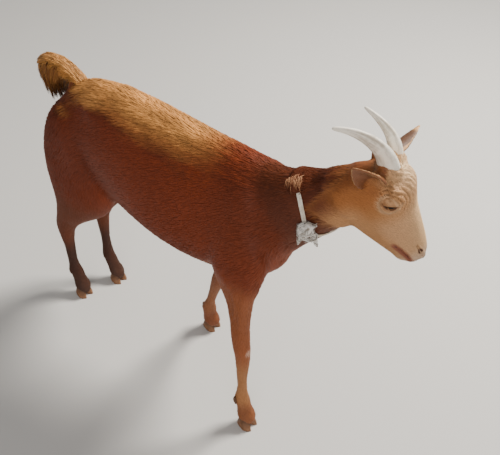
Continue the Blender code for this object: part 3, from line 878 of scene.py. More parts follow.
def brow_curls(points, normals):
    return points + normals * (curls(points) * CURL_HEIGHT)[:, None]


def shape_face(obj):
    for feature in (lids, nose_and_mouth, brow_curls):
        move_points(obj, feature(points_of(obj), normals_of(obj)))


shape_face(skin)
print("face shaped")

# %% [markdown]
# ## Markings and painted light
#
# The goat is red brown, with a golden back, a pale face and dark hind shanks. Its markings
# could be painted on an image, but here they are a rule: each point of the skin is given a
# tone by its part of the body and its place in it. The same rule paints light and shade too:
# sunlight on the back and its clumps of hair, highlights on the fore cannons and the rims of
# the ears, shade under the trunk and the tail, on the far foreleg and ear, in the nostrils and
# the mouth's crease, and light and shade on the folds and curls of the face. A rule needs no
# image file and no brush, and the hair can read the tone of the skin it is rooted in, so the
# markings of the two agree.

# %% Tone every point of the skin
# the back's streaks are painted light and shade of its clumps of hair
STREAKS = np.array((17.0, 90.0, 90.0))        # how fast the back's streaks change, per metre
# the left, far ear's darker tones are painted shade
EAR_BACK = {"right": (142, 86, 46), "left": (100, 70, 52)}
EAR_HOLLOW = {"right": (138, 86, 54), "left": (104, 76, 60)}
SCAR_AT = (0.031, -0.071, 0.214)


def linear(colour):
    """A display colour in 0 to 255, as light."""
    value = np.array(colour, float) / 255
    return np.where(value <= 0.04045, value / 12.92, ((value + 0.055) / 1.055) ** 2.4)


def ear_line(name):
    """The root of an ear, and the line along which its tones and its hair run."""
    root, tip = (np.array(on_head(*place)) for place in EAR_LINES[name])
    return root, tip - root


def ear_facing(name):
    """The way the hollow of an ear faces."""
    run = ear_line(name)[1]
    run = run / np.linalg.norm(run)
    front = np.array(TURN)[:, 2] * 0.4 + np.array(TURN)[:, 0]
    front = front - run * front.dot(run)
    return front / np.linalg.norm(front)


def markings_and_painted_light(points, normals, weights):
    """The coat's tone at each point, with its painted light and shade, and how bare the skin is
    there.
    """
    spots, face = to_withers(points), to_head(points)
    x, y, z = spots.T
    down, side, out = face[:, 0], np.abs(face[:, 1]), face[:, 2]
    up = normals[:, 2]
    wander = noise_at(spots, 14)
    part = {name: weights[:, i] for i, name in enumerate(PARTS)}
    tone = np.tile(linear((122, 50, 20)), (len(points), 1))
    bare = np.zeros(len(points))

    def over(colour, mask):
        """Lays a colour over the tone, as far as the mask goes from 0 to 1."""
        tone[:] = tone + (linear(colour) - tone) * np.clip(mask, 0, 1)[:, None]

    trunk, neck, head, legs = (part[name] for name in ("trunk", "neck", "head", "legs"))

    # the trunk is darker below as painted shade, redder behind and on the shoulder, gold on the
    # back
    body = np.clip(trunk + 0.6 * legs * smoothstep(0.34, 0.42, z), 0, 1)
    # painted shade: the trunk's downward faces are darker
    over((108, 48, 22), body * smoothstep(-0.1, -0.8, up))
    over((108, 44, 18), body * smoothstep(-0.27, -0.40, x + 0.03 * wander))
    over((112, 47, 20), body * smoothstep(-0.10, 0.01, x + 0.04 * wander)
         * smoothstep(0.40, 0.52, z))
    over((152, 74, 34), trunk * smoothstep(0.03, 0.08, x) * smoothstep(0.50, 0.41, z))
    # the back's own gold, with painted sunlight on its upward faces
    over((200, 138, 74), body * smoothstep(0.50, 0.90, up + 0.10 * wander)
         * smoothstep(-0.045, -0.145, x) * smoothstep(0.515, 0.555, z + 0.02 * wander)
         * smoothstep(-0.458, -0.418, x))

    # the neck is dark, and darkest on the nape
    over((94, 44, 24), neck)
    over((104, 56, 34), neck * smoothstep(0.0, -0.7, up))
    over((92, 42, 18), neck * smoothstep(0.35, 0.85, up))

    # the head is tan, darker on poll and throat, and pale on brow, bridge and muzzle
    over((180, 126, 78), head)
    over((168, 104, 54), head * smoothstep(0.50, 0.25, down) * smoothstep(0.0, -0.2, out))
    over((136, 76, 38), head * smoothstep(0.22, 0.05, down))
    nape = smoothstep(0.16, -0.04, down) * smoothstep(0.02, -0.12, out)
    over((112, 60, 34), head * np.maximum(smoothstep(-0.40, -0.60, out), nape))
    over((202, 154, 112), head * smoothstep(0.42, 0.60, down) * smoothstep(-0.45, -0.25, out))
    over((190, 138, 92), head * smoothstep(-0.26, -0.40, out) * smoothstep(0.2, 0.4, down))
    over((244, 204, 158), head * bell(down, 0.24, 0.20) * bell(side, 0, 0.16)
         * smoothstep(-0.14, -0.02, out))
    over((234, 194, 146), head * smoothstep(0.40, 0.60, down) * bell(side, 0, 0.085)
         * (out > -0.25))
    over((216, 184, 156), head * smoothstep(0.84, 0.97, down))

    # the tail is gold above with painted shade on its underside, and the udder pinkish
    over((194, 134, 74), part["tail"])
    # painted shade: the tail's downward faces are dark
    over((96, 48, 22), part["tail"] * smoothstep(-0.1, -0.7, up))
    over((152, 104, 88), part["udder"])

    # the forelegs grow paler downwards, partly as a painted highlight, the far foreleg has painted
    # shade, and the hind shanks are dark
    fore, hind = legs * (x > MID_TRUNK), legs * (x <= MID_TRUNK)
    over((148, 80, 40), fore * smoothstep(0.45, 0.34, z))
    # the lower forelegs' own tan, brightened further as a painted highlight
    over((172, 116, 70), fore * smoothstep(0.215, 0.14, z))
    over((142, 84, 48), fore * smoothstep(0.085, 0.05, z))
    # painted shade: the far foreleg is darker on its lower part
    over((128, 70, 42), fore * 0.65 * (y > 0) * smoothstep(0.34, 0.22, z))
    over((112, 54, 26), hind * smoothstep(0.40, 0.30, z))
    over((70, 38, 25), hind * smoothstep(0.20, 0.13, z))
    over((74, 45, 32), hind * smoothstep(0.085, 0.05, z))

    # each ear has a back, a barer hollow, a pale tip and a painted highlight along its rim
    for name in EAR_LINES:
        root, line = ear_line(name)
        ear, facing = part["ear_" + name], normals @ ear_facing(name)
        run = (points - root) @ line / line.dot(line)
        over(EAR_BACK[name], ear)
        over(EAR_HOLLOW[name], ear * smoothstep(0.25, 0.75, facing))
        # painted highlight: the rim of each ear is lighter
        rim = smoothstep(0.36, 0.14, np.abs(facing)) * smoothstep(0.10, 0.25, run)
        over((222, 172, 118), ear * np.maximum(0.85 * rim, smoothstep(0.86, 1.0, run)))
        bare += 0.6 * ear * smoothstep(0.4, 0.8, facing)

    # pale rings round the eyes, dark lids, and painted shade in the nostrils and the mouth's crease
    for sign in (-1, 1):
        gap = np.linalg.norm((face - np.array(mirror(EYE_AT, sign))) * HEAD_LENGTH, axis=1)
        over((222, 180, 138), head * bell(gap, 0.0160, 0.0030) * 0.7)
        slit = from_eye(points, sign)[4]
        over((88, 54, 36), head * bell(slit, 1.02, 0.20) * smoothstep(0.020, 0.016, gap))
        bare += smoothstep(0.0138, 0.0122, gap)
        gap = np.linalg.norm((face - np.array(mirror(NOSTRIL_AT, sign))) * HEAD_LENGTH, axis=1)
        # painted shade: the pits of the nostrils are dark
        over((78, 40, 32), head * smoothstep(0.0058, 0.0030, gap))
        bare += smoothstep(0.0066, 0.0045, gap)
        gap = near_line(face, [mirror(place, sign) for place in MOUTH_LINE])[0] * HEAD_LENGTH
        over((148, 88, 66), head * smoothstep(0.0075, 0.0030, gap))
        # painted shade: the crease of the mouth is dark
        over((96, 48, 38), head * smoothstep(0.0022, 0.0008, gap))
        bare += smoothstep(0.0030, 0.0018, gap)

    # the bare nose and the scar on the right knee, then painted light and shade on folds, curls and
    # streaks
    nose = head * smoothstep(0.955, 0.985, down) * (out > -0.29) * smoothstep(0.09, 0.05, side)
    over((150, 112, 98), nose)
    bare += nose
    scar = smoothstep(0.0085, 0.0045, np.linalg.norm(spots - np.array(SCAR_AT), axis=1))
    over((206, 166, 144), scar * legs)
    bare += 0.8 * scar
    # painted shade in the grooves of the eye folds and forehead curls, painted light on their
    # crests
    relief = head * (0.34 * eye_folds(points) + 0.26 * curls(points))
    # painted light and shade of the hair's clumps on the back's upward faces
    streak = np.array([noise.noise(Vector(spot * STREAKS)) for spot in spots])
    relief += 0.60 * streak * body * smoothstep(0.25, 0.80, up) * smoothstep(0.02, -0.12, x)
    tone *= ((1 + 0.10 * wander) * (1 + relief))[:, None]
    return np.clip(tone, 0, 1), np.clip(bare, 0, 1)


def give_tone(obj, tone):
    layer = obj.data.color_attributes.new("Tone", "FLOAT_COLOR", "POINT")
    layer.data.foreach_set("color", np.column_stack((tone, np.ones(len(tone)))).ravel())


weights = part_weights(skin, 6)
tone, bare = markings_and_painted_light(points_of(skin), normals_of(skin), weights)
give_tone(skin, tone)
print("tones on", len(tone), "points")

# %% [markdown]
# ## The unwrap
#
# The skin gets an unwrap, so that its finishes can be baked into one map. Seams cut by
# hand would give larger islands, but nothing is painted on this map. So the skin is unwrapped
# by its own shape, with Blender's Smart Project. Each lock of hair later takes a small patch
# of this map, where its root stands.

# %% Unwrap the skin
def unwrap(obj):
    only(obj)
    bpy.ops.object.mode_set(mode="EDIT")
    bpy.ops.mesh.select_all(action="SELECT")
    bpy.ops.uv.smart_project(angle_limit=math.radians(66), island_margin=0.002)
    bpy.ops.object.mode_set(mode="OBJECT")
    obj.data.uv_layers[0].name = "OFBake"


unwrap(skin)
print("skin unwrapped:", [layer.name for layer in skin.data.uv_layers])

# %% [markdown]
# ## The lie of the coat
#
# Hair runs back along the trunk, down the flanks and legs, from the nose up over the face, and
# out along the ears. A groomer would comb it in with a brush. Here a direction for every point
# is blended from its parts and laid into the surface, so the coat turns smoothly where parts
# meet.

# %% Lay a direction on every point
def across_out(vectors, normals):
    """Vectors laid into the surface, at length one."""
    return unit(vectors - normals * np.sum(vectors * normals, axis=1)[:, None])


def lie_of_coat(obj, weights):
    points, normals = points_of(obj), normals_of(obj)
    x, y, z = to_withers(points).T
    face = to_head(points)
    turn = np.array(TURN)
    sides = np.abs(normals[:, 1])[:, None]
    towards = np.zeros_like(points)
    trunk = np.array((-1.0, 0, -0.10)) + sides * np.array((0, 0, -0.45))
    trunk = trunk + smoothstep(-0.36, -0.46, x)[:, None] * np.array((0.45, 0, -1.1))
    brisket = smoothstep(0.02, 0.08, x) * smoothstep(0.52, 0.42, z)
    trunk = trunk + brisket[:, None] * np.array((0.7, 0, -1.2))
    neck = np.array((-0.9, 0, -0.45)) + sides * np.array((0, 0, -0.35))
    jaw = smoothstep(-0.10, -0.34, face[:, 2])[:, None]
    head = -turn[:, 0] + jaw * (-0.7 * turn[:, 2])
    head = head + np.sign(face[:, 1])[:, None] * turn[:, 1] * 0.25
    by_part = {"trunk": trunk, "neck": neck, "head": head, "tail": np.array((-1.0, 0, -0.25)),
               "legs": np.array((-0.12, 0, -1.0)), "udder": np.array((-0.2, 0, -1.0))}
    for name in EAR_LINES:
        line = ear_line(name)[1]
        by_part["ear_" + name] = line / np.linalg.norm(line)
    for index, name in enumerate(PARTS):
        towards += weights[:, index, None] * by_part[name]
    towards = across_out(towards, normals)
    return across_out(blur(edges_of(obj), towards, 8), normals)


lie = lie_of_coat(skin, weights)
print("mean lie:", [round(float(value), 2) for value in lie.mean(axis=0)])

# %% [markdown]
# ## The coat
#
# A short coat looks like thousands of small pointed tufts. Blender's hair curves could make
# them, but curves aren't a mesh, and every piece here has to leave as one. So each tuft is a
# thin closed blade of six triangles: a root sunk in the skin, a ridge over its middle and a
# tip that lies close above the skin. Tufts are drawn at random over the skin, thicker where
# the hair is short, and each follows the lie of the coat under it. Middle and tip are set
# against the skin by a nearest-point search, so that a tuft bends with the form below.

# %% Measures of the tufts
TUFT_LENGTH = {"trunk": 0.0170, "neck": 0.0145, "head": 0.0058, "tail": 0.014, "legs": 0.0100,
               "ear_right": 0.0050, "ear_left": 0.0050, "udder": 0.0055}
TUFT_COVER = {"trunk": 2.10, "neck": 1.70, "head": 1.40, "tail": 2.0, "legs": 1.15,
              "ear_right": 1.0, "ear_left": 1.0, "udder": 0.8}
TUFT_LIFT = {"trunk": 0.0019, "neck": 0.0018, "head": 0.0006, "tail": 0.003, "legs": 0.0011,
             "ear_right": 0.0006, "ear_left": 0.0006, "udder": 0.0006}
LENGTH_SPREAD, LIFT_SPREAD = (0.70, 1.25), (0.55, 1.35)
ROOT_DEPTH = 0.0004
rng = np.random.default_rng(41)


def tuft_width(length):
    return 0.00035 + 0.075 * length


def tuft_fields(obj, weights, bare):
    """Length, lift, share of ground covered and curl, at each point of the skin."""
    points, normals = points_of(obj), normals_of(obj)
    x, y, z = to_withers(points).T
    face, up = to_head(points), normals[:, 2]
    trunk, head, legs = (weights[:, WEIGHT[part]] for part in ("trunk", "head", "legs"))
    length, lift, cover = (blended(weights, by_part)
                           for by_part in (TUFT_LENGTH, TUFT_LIFT, TUFT_COVER))
    length *= 1 - 0.38 * legs * smoothstep(0.34, 0.12, z)
    length *= 1 + 0.60 * legs * smoothstep(0.34, 0.46, z)
    lift *= 1 + 0.60 * legs * smoothstep(0.34, 0.46, z)
    cover *= 1 - bare
    back = trunk * smoothstep(0.45, 0.9, up)
    length *= 1 + 0.30 * back
    lift *= 1 + 0.45 * back
    brow = head * bell(face[:, 0], 0.20, 0.20) * smoothstep(-0.16, -0.02, face[:, 2])
    length *= 1 + 0.30 * brow
    lift *= 1 + 0.5 * brow
    length *= 1 - 0.45 * head * smoothstep(0.55, 0.90, face[:, 0])
    jaw = head * smoothstep(-0.25, -0.40, face[:, 2]) * smoothstep(0.65, 0.45, face[:, 0])
    length *= 1 + 0.35 * jaw
    edge = trunk * (smoothstep(-0.40, -0.46, x) + smoothstep(-0.6, -0.95, up))
    lift *= 1 + 0.5 * np.clip(edge, 0, 1)
    cover *= 0.35 + 0.65 * smoothstep(0.040, 0.055, z)
    return length, lift, cover, 0.10 + 0.26 * brow


print("tuft measures ready")

# %% Choose where the tufts stand
def draw_roots(obj, length, cover):
    """Faces and weights within them for every root, drawn by area over size of tuft."""
    points, corners = points_of(obj), corners_of(obj).reshape(-1, 3)
    a, b, c = (points[corners[:, i]] for i in range(3))
    area = np.linalg.norm(np.cross(b - a, c - a), axis=1) / 2
    long = length[corners].mean(axis=1)
    expected = cover[corners].mean(axis=1) * area / (0.55 * long * tuft_width(long))
    total = np.cumsum(expected)
    count = int(total[-1])
    draws = (np.arange(count) + rng.random(count)) * total[-1] / count
    faces = np.searchsorted(total, draws).clip(0, len(corners) - 1)
    shares = rng.random((count, 2))
    fold = shares.sum(axis=1) > 1
    shares[fold] = 1 - shares[fold]
    shares = np.column_stack((1 - shares.sum(axis=1), shares))
    return faces, corners[faces], shares


def spread(values, corners, shares):
    """Values of the points, read between the corners of a face."""
    if values.ndim == 1:
        return (values[corners] * shares).sum(axis=1)
    return (values[corners] * shares[:, :, None]).sum(axis=1)


class Roots:
    """Where each tuft stands, and all that it needs to know of the skin there."""

    def __init__(self, obj, weights, bare, lie, tone):
        length, lift, cover, curl = tuft_fields(obj, weights, bare)
        faces, corners, shares = draw_roots(obj, length, cover)
        self.place = spread(points_of(obj), corners, shares)
        self.normal = unit(spread(normals_of(obj), corners, shares))
        self.way = across_out(spread(lie, corners, shares), self.normal)
        self.tone = spread(tone, corners, shares)
        self.length = spread(length, corners, shares) * rng.uniform(*LENGTH_SPREAD, len(faces))
        self.lift = spread(lift, corners, shares) * rng.uniform(*LIFT_SPREAD, len(faces))
        self.curl = spread(curl, corners, shares)
        self.part = spread(weights, corners, shares).argmax(axis=1)
        patch = read(obj.data.uv_layers["OFBake"].data, "uv", 2).reshape(-1, 3, 2)
        self.patch = (patch[faces] * shares[:, :, None]).sum(axis=1)
        self.turn()

    def turn(self):
        """Each tuft strays a little from the lie of the coat."""
        stray = rng.normal(0, 1, len(self.place)) * self.curl
        side = np.cross(self.normal, self.way)
        self.way = self.way * np.cos(stray)[:, None] + side * np.sin(stray)[:, None]

    def keep(self, chosen):
        """Drops all other tufts."""
        for name, values in list(vars(self).items()):
            setattr(self, name, values[chosen])


def clear_of(roots, nodes, gap):
    """Which roots stand clear of these solids."""
    clear = np.ones(len(roots.place), bool)
    for tree in [tree_of(NODES[node]) for node in nodes]:
        for index in np.nonzero(clear)[0]:
            place = Vector(roots.place[index])
            spot, normal, face, distance = tree.find_nearest(place, CLEAR_REACH)
            if spot is not None:
                clear[index] = distance > gap and (place - spot).dot(normal) >= 0
    return clear


CLEAR_REACH, CLEAR_GAP, STRAP_REACH = 0.03, 0.0004, 0.02
CLAW_NODES = [node for node in NODES if node.startswith(("claw", "dewclaw"))]
HARD_NODES = [node for node in NODES if node.startswith("horn") or node in CLAW_NODES]
roots = Roots(skin, weights, bare, lie, tone)
roots.keep(clear_of(roots, HARD_NODES, CLEAR_GAP))
strap = tree_of(NODES["collar"])
under = np.array([strap.find_nearest(Vector(place), STRAP_REACH)[3] or STRAP_REACH
                  for place in roots.place])
roots.lift *= 0.10 + 0.90 * smoothstep(0.003, 0.014, under)
print("tufts:", len(roots.place))
print({part: int((roots.part == i).sum()) for i, part in enumerate(PARTS)})

# %% Build the tufts
TUFT_FACES = np.array(((0, 3, 1), (0, 2, 3), (4, 1, 3), (4, 3, 2), (0, 1, 2), (4, 2, 1)))
TUFT_PATCH = np.array(((0, -0.0015), (-0.0015, 0), (0.0015, 0), (0.0003, 0.0003), (0, 0.0015)))
# painted shade at the sunk root and along the low sides of a tuft, and a paler tip
TUFT_SHADE = np.array((0.74, 0.93, 0.93, 1.02, 1.16))


def quick_mesh(name, points, faces):
    """A new piece from arrays, for hundreds of thousands of faces."""
    mesh = bpy.data.meshes.new(name)
    mesh.vertices.add(len(points))
    mesh.vertices.foreach_set("co", points.ravel())
    mesh.loops.add(faces.size)
    mesh.loops.foreach_set("vertex_index", faces.ravel().astype(np.int32))
    mesh.polygons.add(len(faces))
    starts = np.arange(len(faces), dtype=np.int32) * faces.shape[1]
    mesh.polygons.foreach_set("loop_start", starts)
    mesh.update(calc_edges=True)
    mesh.validate()
    return in_scene(name, mesh)


def against_skin(tree, places, reach):
    """The nearest places on the skin, and whether each is near enough."""
    found = [tree.find_nearest(Vector(place)) for place in places]
    spots = np.array([spot for spot, normal, face, distance in found])
    gaps = np.array([distance for spot, normal, face, distance in found])
    return spots, gaps < reach


def tuft_points(roots, tree):
    """The five corners of each tuft, the way each corner leans, and which tufts lie well."""
    long, lift = roots.length[:, None], roots.lift[:, None]
    middle_spot, near_middle = against_skin(tree, roots.place + roots.way * long * 0.5,
                                            roots.length * 0.35)
    tip_spot, near_tip = against_skin(tree, roots.place + roots.way * long, roots.length * 0.55)
    normal = roots.normal
    wide = tuft_width(long) / 2
    thick = wide * 0.45
    side = np.cross(normal, roots.way)
    low = normal * (lift * 0.45 - thick * 0.3)
    corners = np.stack((
        roots.place - normal * ROOT_DEPTH,
        middle_spot + side * wide + low,
        middle_spot - side * wide + low,
        middle_spot + normal * (lift * 0.45 + thick),
        tip_spot + normal * lift), axis=1)
    lean = np.stack((normal, unit(normal + side * 0.45), unit(normal - side * 0.45), normal,
                     unit(normal + roots.way * 0.25)), axis=1)
    return corners, lean, near_middle & near_tip


def patch_onto(piece, patches):
    """Gives every corner of a face its place in the bake's map."""
    piece.data.uv_layers.new(name="OFBake").data.foreach_set("uv", patches.ravel())


def grow_coat(name, roots, corners, lean, finish, nodes):
    count = len(corners)
    faces = (np.arange(count)[:, None, None] * 5 + TUFT_FACES[None]).reshape(-1, 3)
    coat = quick_mesh(name, corners.reshape(-1, 3), faces)
    vary = 0.06 + 0.10 * smoothstep(0.3, 0.8, roots.normal[:, 2])
    # a random tone for each tuft, times the painted shade along it
    shade = (1 + rng.normal(0, 1, count) * vary)[:, None] * TUFT_SHADE[None]
    give_tone(coat, np.clip(roots.tone[:, None] * shade[:, :, None], 0, 1).reshape(-1, 3))
    patch_onto(coat, (roots.patch[:, None] + TUFT_PATCH[None]).reshape(-1, 2)[faces.ravel()])
    wear(coat, finish, "face" if finish == face_finish else "coat", nodes)
    coat.data.normals_split_custom_set_from_vertices(lean.reshape(-1, 3))
    return coat


def fur_finish(name, roughness, sheen):
    fur = Finish(name, Roughness=roughness, Sheen_Weight=sheen, Sheen_Roughness=0.4,
                 Specular_IOR_Level=0.28)
    fur.set("Base Color", fur.tone())
    return fur


coat_finish = fur_finish("coat hair", 0.50, 0.0)
face_finish = fur_finish("face hair", 0.62, 0.05)
skin_tree = tree_of(skin)
corners, lean, good = tuft_points(roots, skin_tree)
left = roots.place[:, 1] > WITHERS[1]
front = roots.place[:, 0] > WITHERS[0] + MID_TRUNK
part_is = {part: roots.part == i for i, part in enumerate(PARTS)}
REGIONS = {
    "coat_side_right": (part_is["trunk"] & ~left, ("trunk",)),
    "coat_side_left": (part_is["trunk"] & left, ("trunk",)),
    "coat_neck": (part_is["neck"], ("neck",)),
    "coat_head": (part_is["head"], ("head",)),
    "coat_forelegs": (part_is["legs"] & front, ("foreleg_right", "foreleg_left")),
    "coat_hindleg_right": (part_is["legs"] & ~front & ~left, ("hindleg_right",)),
    "coat_hindleg_left": (part_is["legs"] & ~front & left, ("hindleg_left",)),
    "coat_udder": (part_is["udder"], ("udder",)),
    "coat_ears": (part_is["ear_right"] | part_is["ear_left"], ("ear_right", "ear_left")),
    "coat_tail_root": (part_is["tail"], ("tail",)),
}
whole = dict(vars(roots))
for name, (chosen, nodes) in REGIONS.items():
    chosen = chosen & good
    for field, values in whole.items():
        setattr(roots, field, values[chosen])
    piece = grow_coat(name, roots, corners[chosen], lean[chosen],
                      face_finish if name == "coat_head" else coat_finish, nodes)
    print(name, len(piece.data.polygons), "triangles")

# %% [markdown]
# ## Long hair of the tail
#
# The tail is short and bony, and its outline is all hair. A blade of six triangles is too stiff
# for such long hair, so the tail's locks have three bends each. A lock leaves the tail's core
# and ends at a place on the tail's solid, which holds the tail to its outline. Only under the
# tail's end does the hair hang a little lower than the solid.

# %% Grow the locks of the tail
def lock_mesh(name, paths, normals, widths, tones, patches, finish, slot, nodes):
    """Closed locks over paths of equal count, with a point at both ends."""
    count, stations = paths.shape[:2]
    along = np.gradient(paths, axis=1)
    side = unit(np.cross(normals, along).reshape(-1, 3)).reshape(paths.shape)
    out = unit(np.cross(along, side).reshape(-1, 3)).reshape(paths.shape)
    profile = np.sin(np.linspace(0.25, 0.94, stations) * math.pi)[None, 1:-1, None]
    wide = widths[:, None, None] * profile / 2
    middle_part, side, out = paths[:, 1:-1], side[:, 1:-1], out[:, 1:-1]
    keel = out * wide * 0.1
    rings = np.stack((middle_part + side * wide - keel,
                      middle_part - side * wide - keel,
                      middle_part + out * wide * 0.6), axis=2).reshape(count, -1, 3)
    points = np.concatenate((paths[:, :1], rings, paths[:, -1:]), axis=1)
    size = points.shape[1]
    faces = [(0, 3, 1), (0, 2, 3), (0, 1, 2)]
    for ring in range(stations - 3):
        low, high = 1 + 3 * ring, 4 + 3 * ring
        for i, j in ((0, 2), (2, 1), (1, 0)):
            faces += [(low + i, low + j, high + j), (low + i, high + j, high + i)]
    last = 1 + 3 * (stations - 3)
    tip = size - 1
    faces += [(tip, last, last + 2), (tip, last + 2, last + 1), (tip, last + 1, last)]
    faces = (np.arange(count)[:, None, None] * size + np.array(faces)[None]).reshape(-1, 3)
    piece = quick_mesh(name, points.reshape(-1, 3), faces)
    # painted shade at the root of each lock, paler towards the tip
    shade = np.concatenate(([0.72], np.repeat(np.linspace(0.85, 1.08, stations - 2), 3), [1.16]))
    give_tone(piece, np.clip(tones[:, None] * shade[None, :, None], 0, 1).reshape(-1, 3))
    angles = np.linspace(0, math.tau, size, endpoint=False)
    patch = patches[:, None] + 0.0015 * np.stack((np.cos(angles), np.sin(angles)), axis=1)[None]
    patch_onto(piece, patch.reshape(-1, 2)[faces.ravel()])
    wear(piece, finish, slot, nodes)
    return piece


def skin_points_at(places):
    """The skin's nearest point to each place."""
    tree = KDTree(len(skin.data.vertices))
    for index, point in enumerate(points_of(skin)):
        tree.insert(point, index)
    tree.balance()
    return np.array([tree.find(place)[1] for place in places])


def patches_at(places):
    """The skin's unwrap under each place."""
    first_loop = {}
    for loop in skin.data.loops:
        first_loop.setdefault(loop.vertex_index, loop.index)
    layer = skin.data.uv_layers["OFBake"].data
    return np.array([layer[first_loop[index]].uv[:] for index in skin_points_at(places)])


TAIL_LOCKS, TAIL_CLUMPS = 8800, 260
TAIL_FALL = 0.026                             # how far the hair hangs under the tail's end
TAIL_AXIS = np.array([tuple(at(*place)) for place, radius in TAIL_CORE])


def on_axis(t):
    """A place on the tail's core, t from 0 to 1, and the core's radius there."""
    steps = np.clip(t, 0, 1) * (len(TAIL_CORE) - 1)
    low = np.minimum(steps.astype(int), len(TAIL_CORE) - 2)
    share = (steps - low)[:, None]
    radii = np.array([radius for place, radius in TAIL_CORE])
    place = TAIL_AXIS[low] * (1 - share) + TAIL_AXIS[low + 1] * share
    return place, radii[low] * (1 - share[:, 0]) + radii[low + 1] * share[:, 0]


def tail_ends(count):
    """Places drawn by area on the tail's solid, and the way out of it at each."""
    solid = NODES["tail"]
    points = points_of(solid)
    solid.data.calc_loop_triangles()
    corners = np.array([triangle.vertices[:] for triangle in solid.data.loop_triangles])
    a, b, c = (points[corners[:, i]] for i in range(3))
    area = np.linalg.norm(np.cross(b - a, c - a), axis=1)
    faces = rng.choice(len(corners), count, p=area / area.sum())
    shares = rng.dirichlet((1, 1, 1), count)
    normals = unit(np.cross(b - a, c - a))[faces]
    return spread(points, corners[faces], shares), normals


def tail_locks():
    """Locks from the core to the solid's outline, longer where the hair hangs down."""
    ends, outward = tail_ends(TAIL_LOCKS)
    gap, along = near_line(ends, TAIL_AXIS)
    beside = on_axis(along)[0]
    above = smoothstep(-0.2, 0.6, unit(ends - beside)[:, 2])[:, None]
    start = np.clip(along - rng.uniform(-0.02, 0.18, TAIL_LOCKS) - 0.14 * above[:, 0], 0.0, 0.97)
    core, radius = on_axis(start)
    spoke = unit(ends - beside)
    leave = unit(spoke * np.array((0.3, 1.0, 0.35)) + np.array((-0.15, 0, 0.75)))
    root = core + leave * radius[:, None] * 0.8
    inset = rng.uniform(-0.12, 0.34, TAIL_LOCKS)[:, None]
    ends = ends + (beside - ends) * inset * (1 - 0.7 * above) - outward * 0.0008 * above
    fall = (smoothstep(0.1, -0.7, spoke[:, 2]) * smoothstep(0.30, 0.70, along))[:, None]
    ends = ends + np.array((0.25, 0, -1.0)) * TAIL_FALL * fall
    clumps = rng.choice(TAIL_LOCKS, TAIL_CLUMPS, replace=False)
    nearest = np.array([np.argmin(((ends[clumps] - end) ** 2).sum(axis=1)) for end in ends])
    ends = ends + (ends[clumps][nearest] - ends) * (0.55 * (1 - 0.6 * above))
    reach = np.linalg.norm(ends - root, axis=1)[:, None]
    bow = np.array((-0.22, 0, 0.18)) + unit(spoke * np.array((0.4, 1, 0.2))) * 0.24
    bend = root + bow * reach
    bend += rng.normal(0, 0.0020, bend.shape)
    t = np.linspace(0, 1, 5)[None, :, None]
    paths = root[:, None] * (1 - t) ** 2 + 2 * bend[:, None] * t * (1 - t) + ends[:, None] * t**2
    normals = np.repeat(unit(spoke + outward * 0.6)[:, None], 5, axis=1)
    x = to_withers(ends)[:, 0]
    low = smoothstep(0.0, 0.026, beside[:, 2] - ends[:, 2])
    crest_highlight = smoothstep(0.2, 0.9, spoke[:, 2])
    tones = np.tile(linear((200, 140, 72)), (TAIL_LOCKS, 1))
    # a pale tip, and a painted highlight on the locks along the top
    pale = np.maximum(smoothstep(-0.555, -0.585, x), 0.10 * crest_highlight)
    tones += (linear((226, 200, 160)) - tones) * pale[:, None]
    # painted shade: the hair that hangs below the core is darker
    dark = low * 0.9 * rng.uniform(0.5, 1, TAIL_LOCKS)
    tones += (linear((88, 44, 22)) - tones) * dark[:, None]
    vary = rng.normal(1.0, 0.15, TAIL_CLUMPS)[nearest] * rng.normal(1.0, 0.10, TAIL_LOCKS)
    tones = tones * vary[:, None]
    widths = 0.0009 + 0.013 * reach[:, 0]
    return lock_mesh("coat_tail", paths, normals, widths, tones, patches_at(root),
                     coat_finish, "coat", ("tail",))


tail_hair = tail_locks()
print("tail hair:", len(tail_hair.data.polygons), "triangles")

# %% [markdown]
# ## Hair over the cord
#
# On the nape the hair is longer and lies back over the collar, so that the cord sinks into it,
# and a paler wisp lies beside the cord on the right. Tufts set against the skin would run
# through the cord. So locks like the tail's walk over the skin in six steps, rise over the
# cord and come back down behind it.

# %% Lay the mane over the cord
COLLAR_CENTRE = at(0.098, 0.006, 0.569)
COLLAR_AXIS = Vector((0.71, 0.08, 0.70)).normalized()
MANE_BENDS = (0.0000, 0.0026, 0.0048, 0.0062, 0.0062, 0.0044, 0.0020)
MANE_LOCKS, CREST_LOCKS = 1600, 300
MANE_ARC = (135, 221)                         # degrees round the neck, counted from the throat
CREST_AT, CREST_WAY = (0.0580, -0.0070, 0.6105), (0.45, -0.50, -0.74)
CREST_SPREAD = (0.006, 0.004, 0.004)


def strap_way(angle):
    """A way out of the collar's middle, counted round from the throat."""
    throat = Vector((0, 1, 0)).cross(COLLAR_AXIS).normalized()
    return throat * math.cos(angle) + COLLAR_AXIS.cross(throat) * math.sin(angle)


def mane_paths(starts, ways, steps, rises):
    """Paths that leave the skin, rise over the cord and come back towards the skin."""
    paths, normals = [], []
    for start, way, step, rise in zip(starts, ways, steps, rises):
        spot, normal, face, gap = skin_tree.find_nearest(Vector(start))
        way = Vector(way)
        path, facing = [], []
        for bend in MANE_BENDS:
            path.append(tuple(spot + normal * bend * rise))
            facing.append(tuple(normal))
            way = laid(way, normal)
            spot, normal, face, gap = skin_tree.find_nearest(spot + way * step)
        paths.append(path)
        normals.append(facing)
    return np.array(paths), np.array(normals)


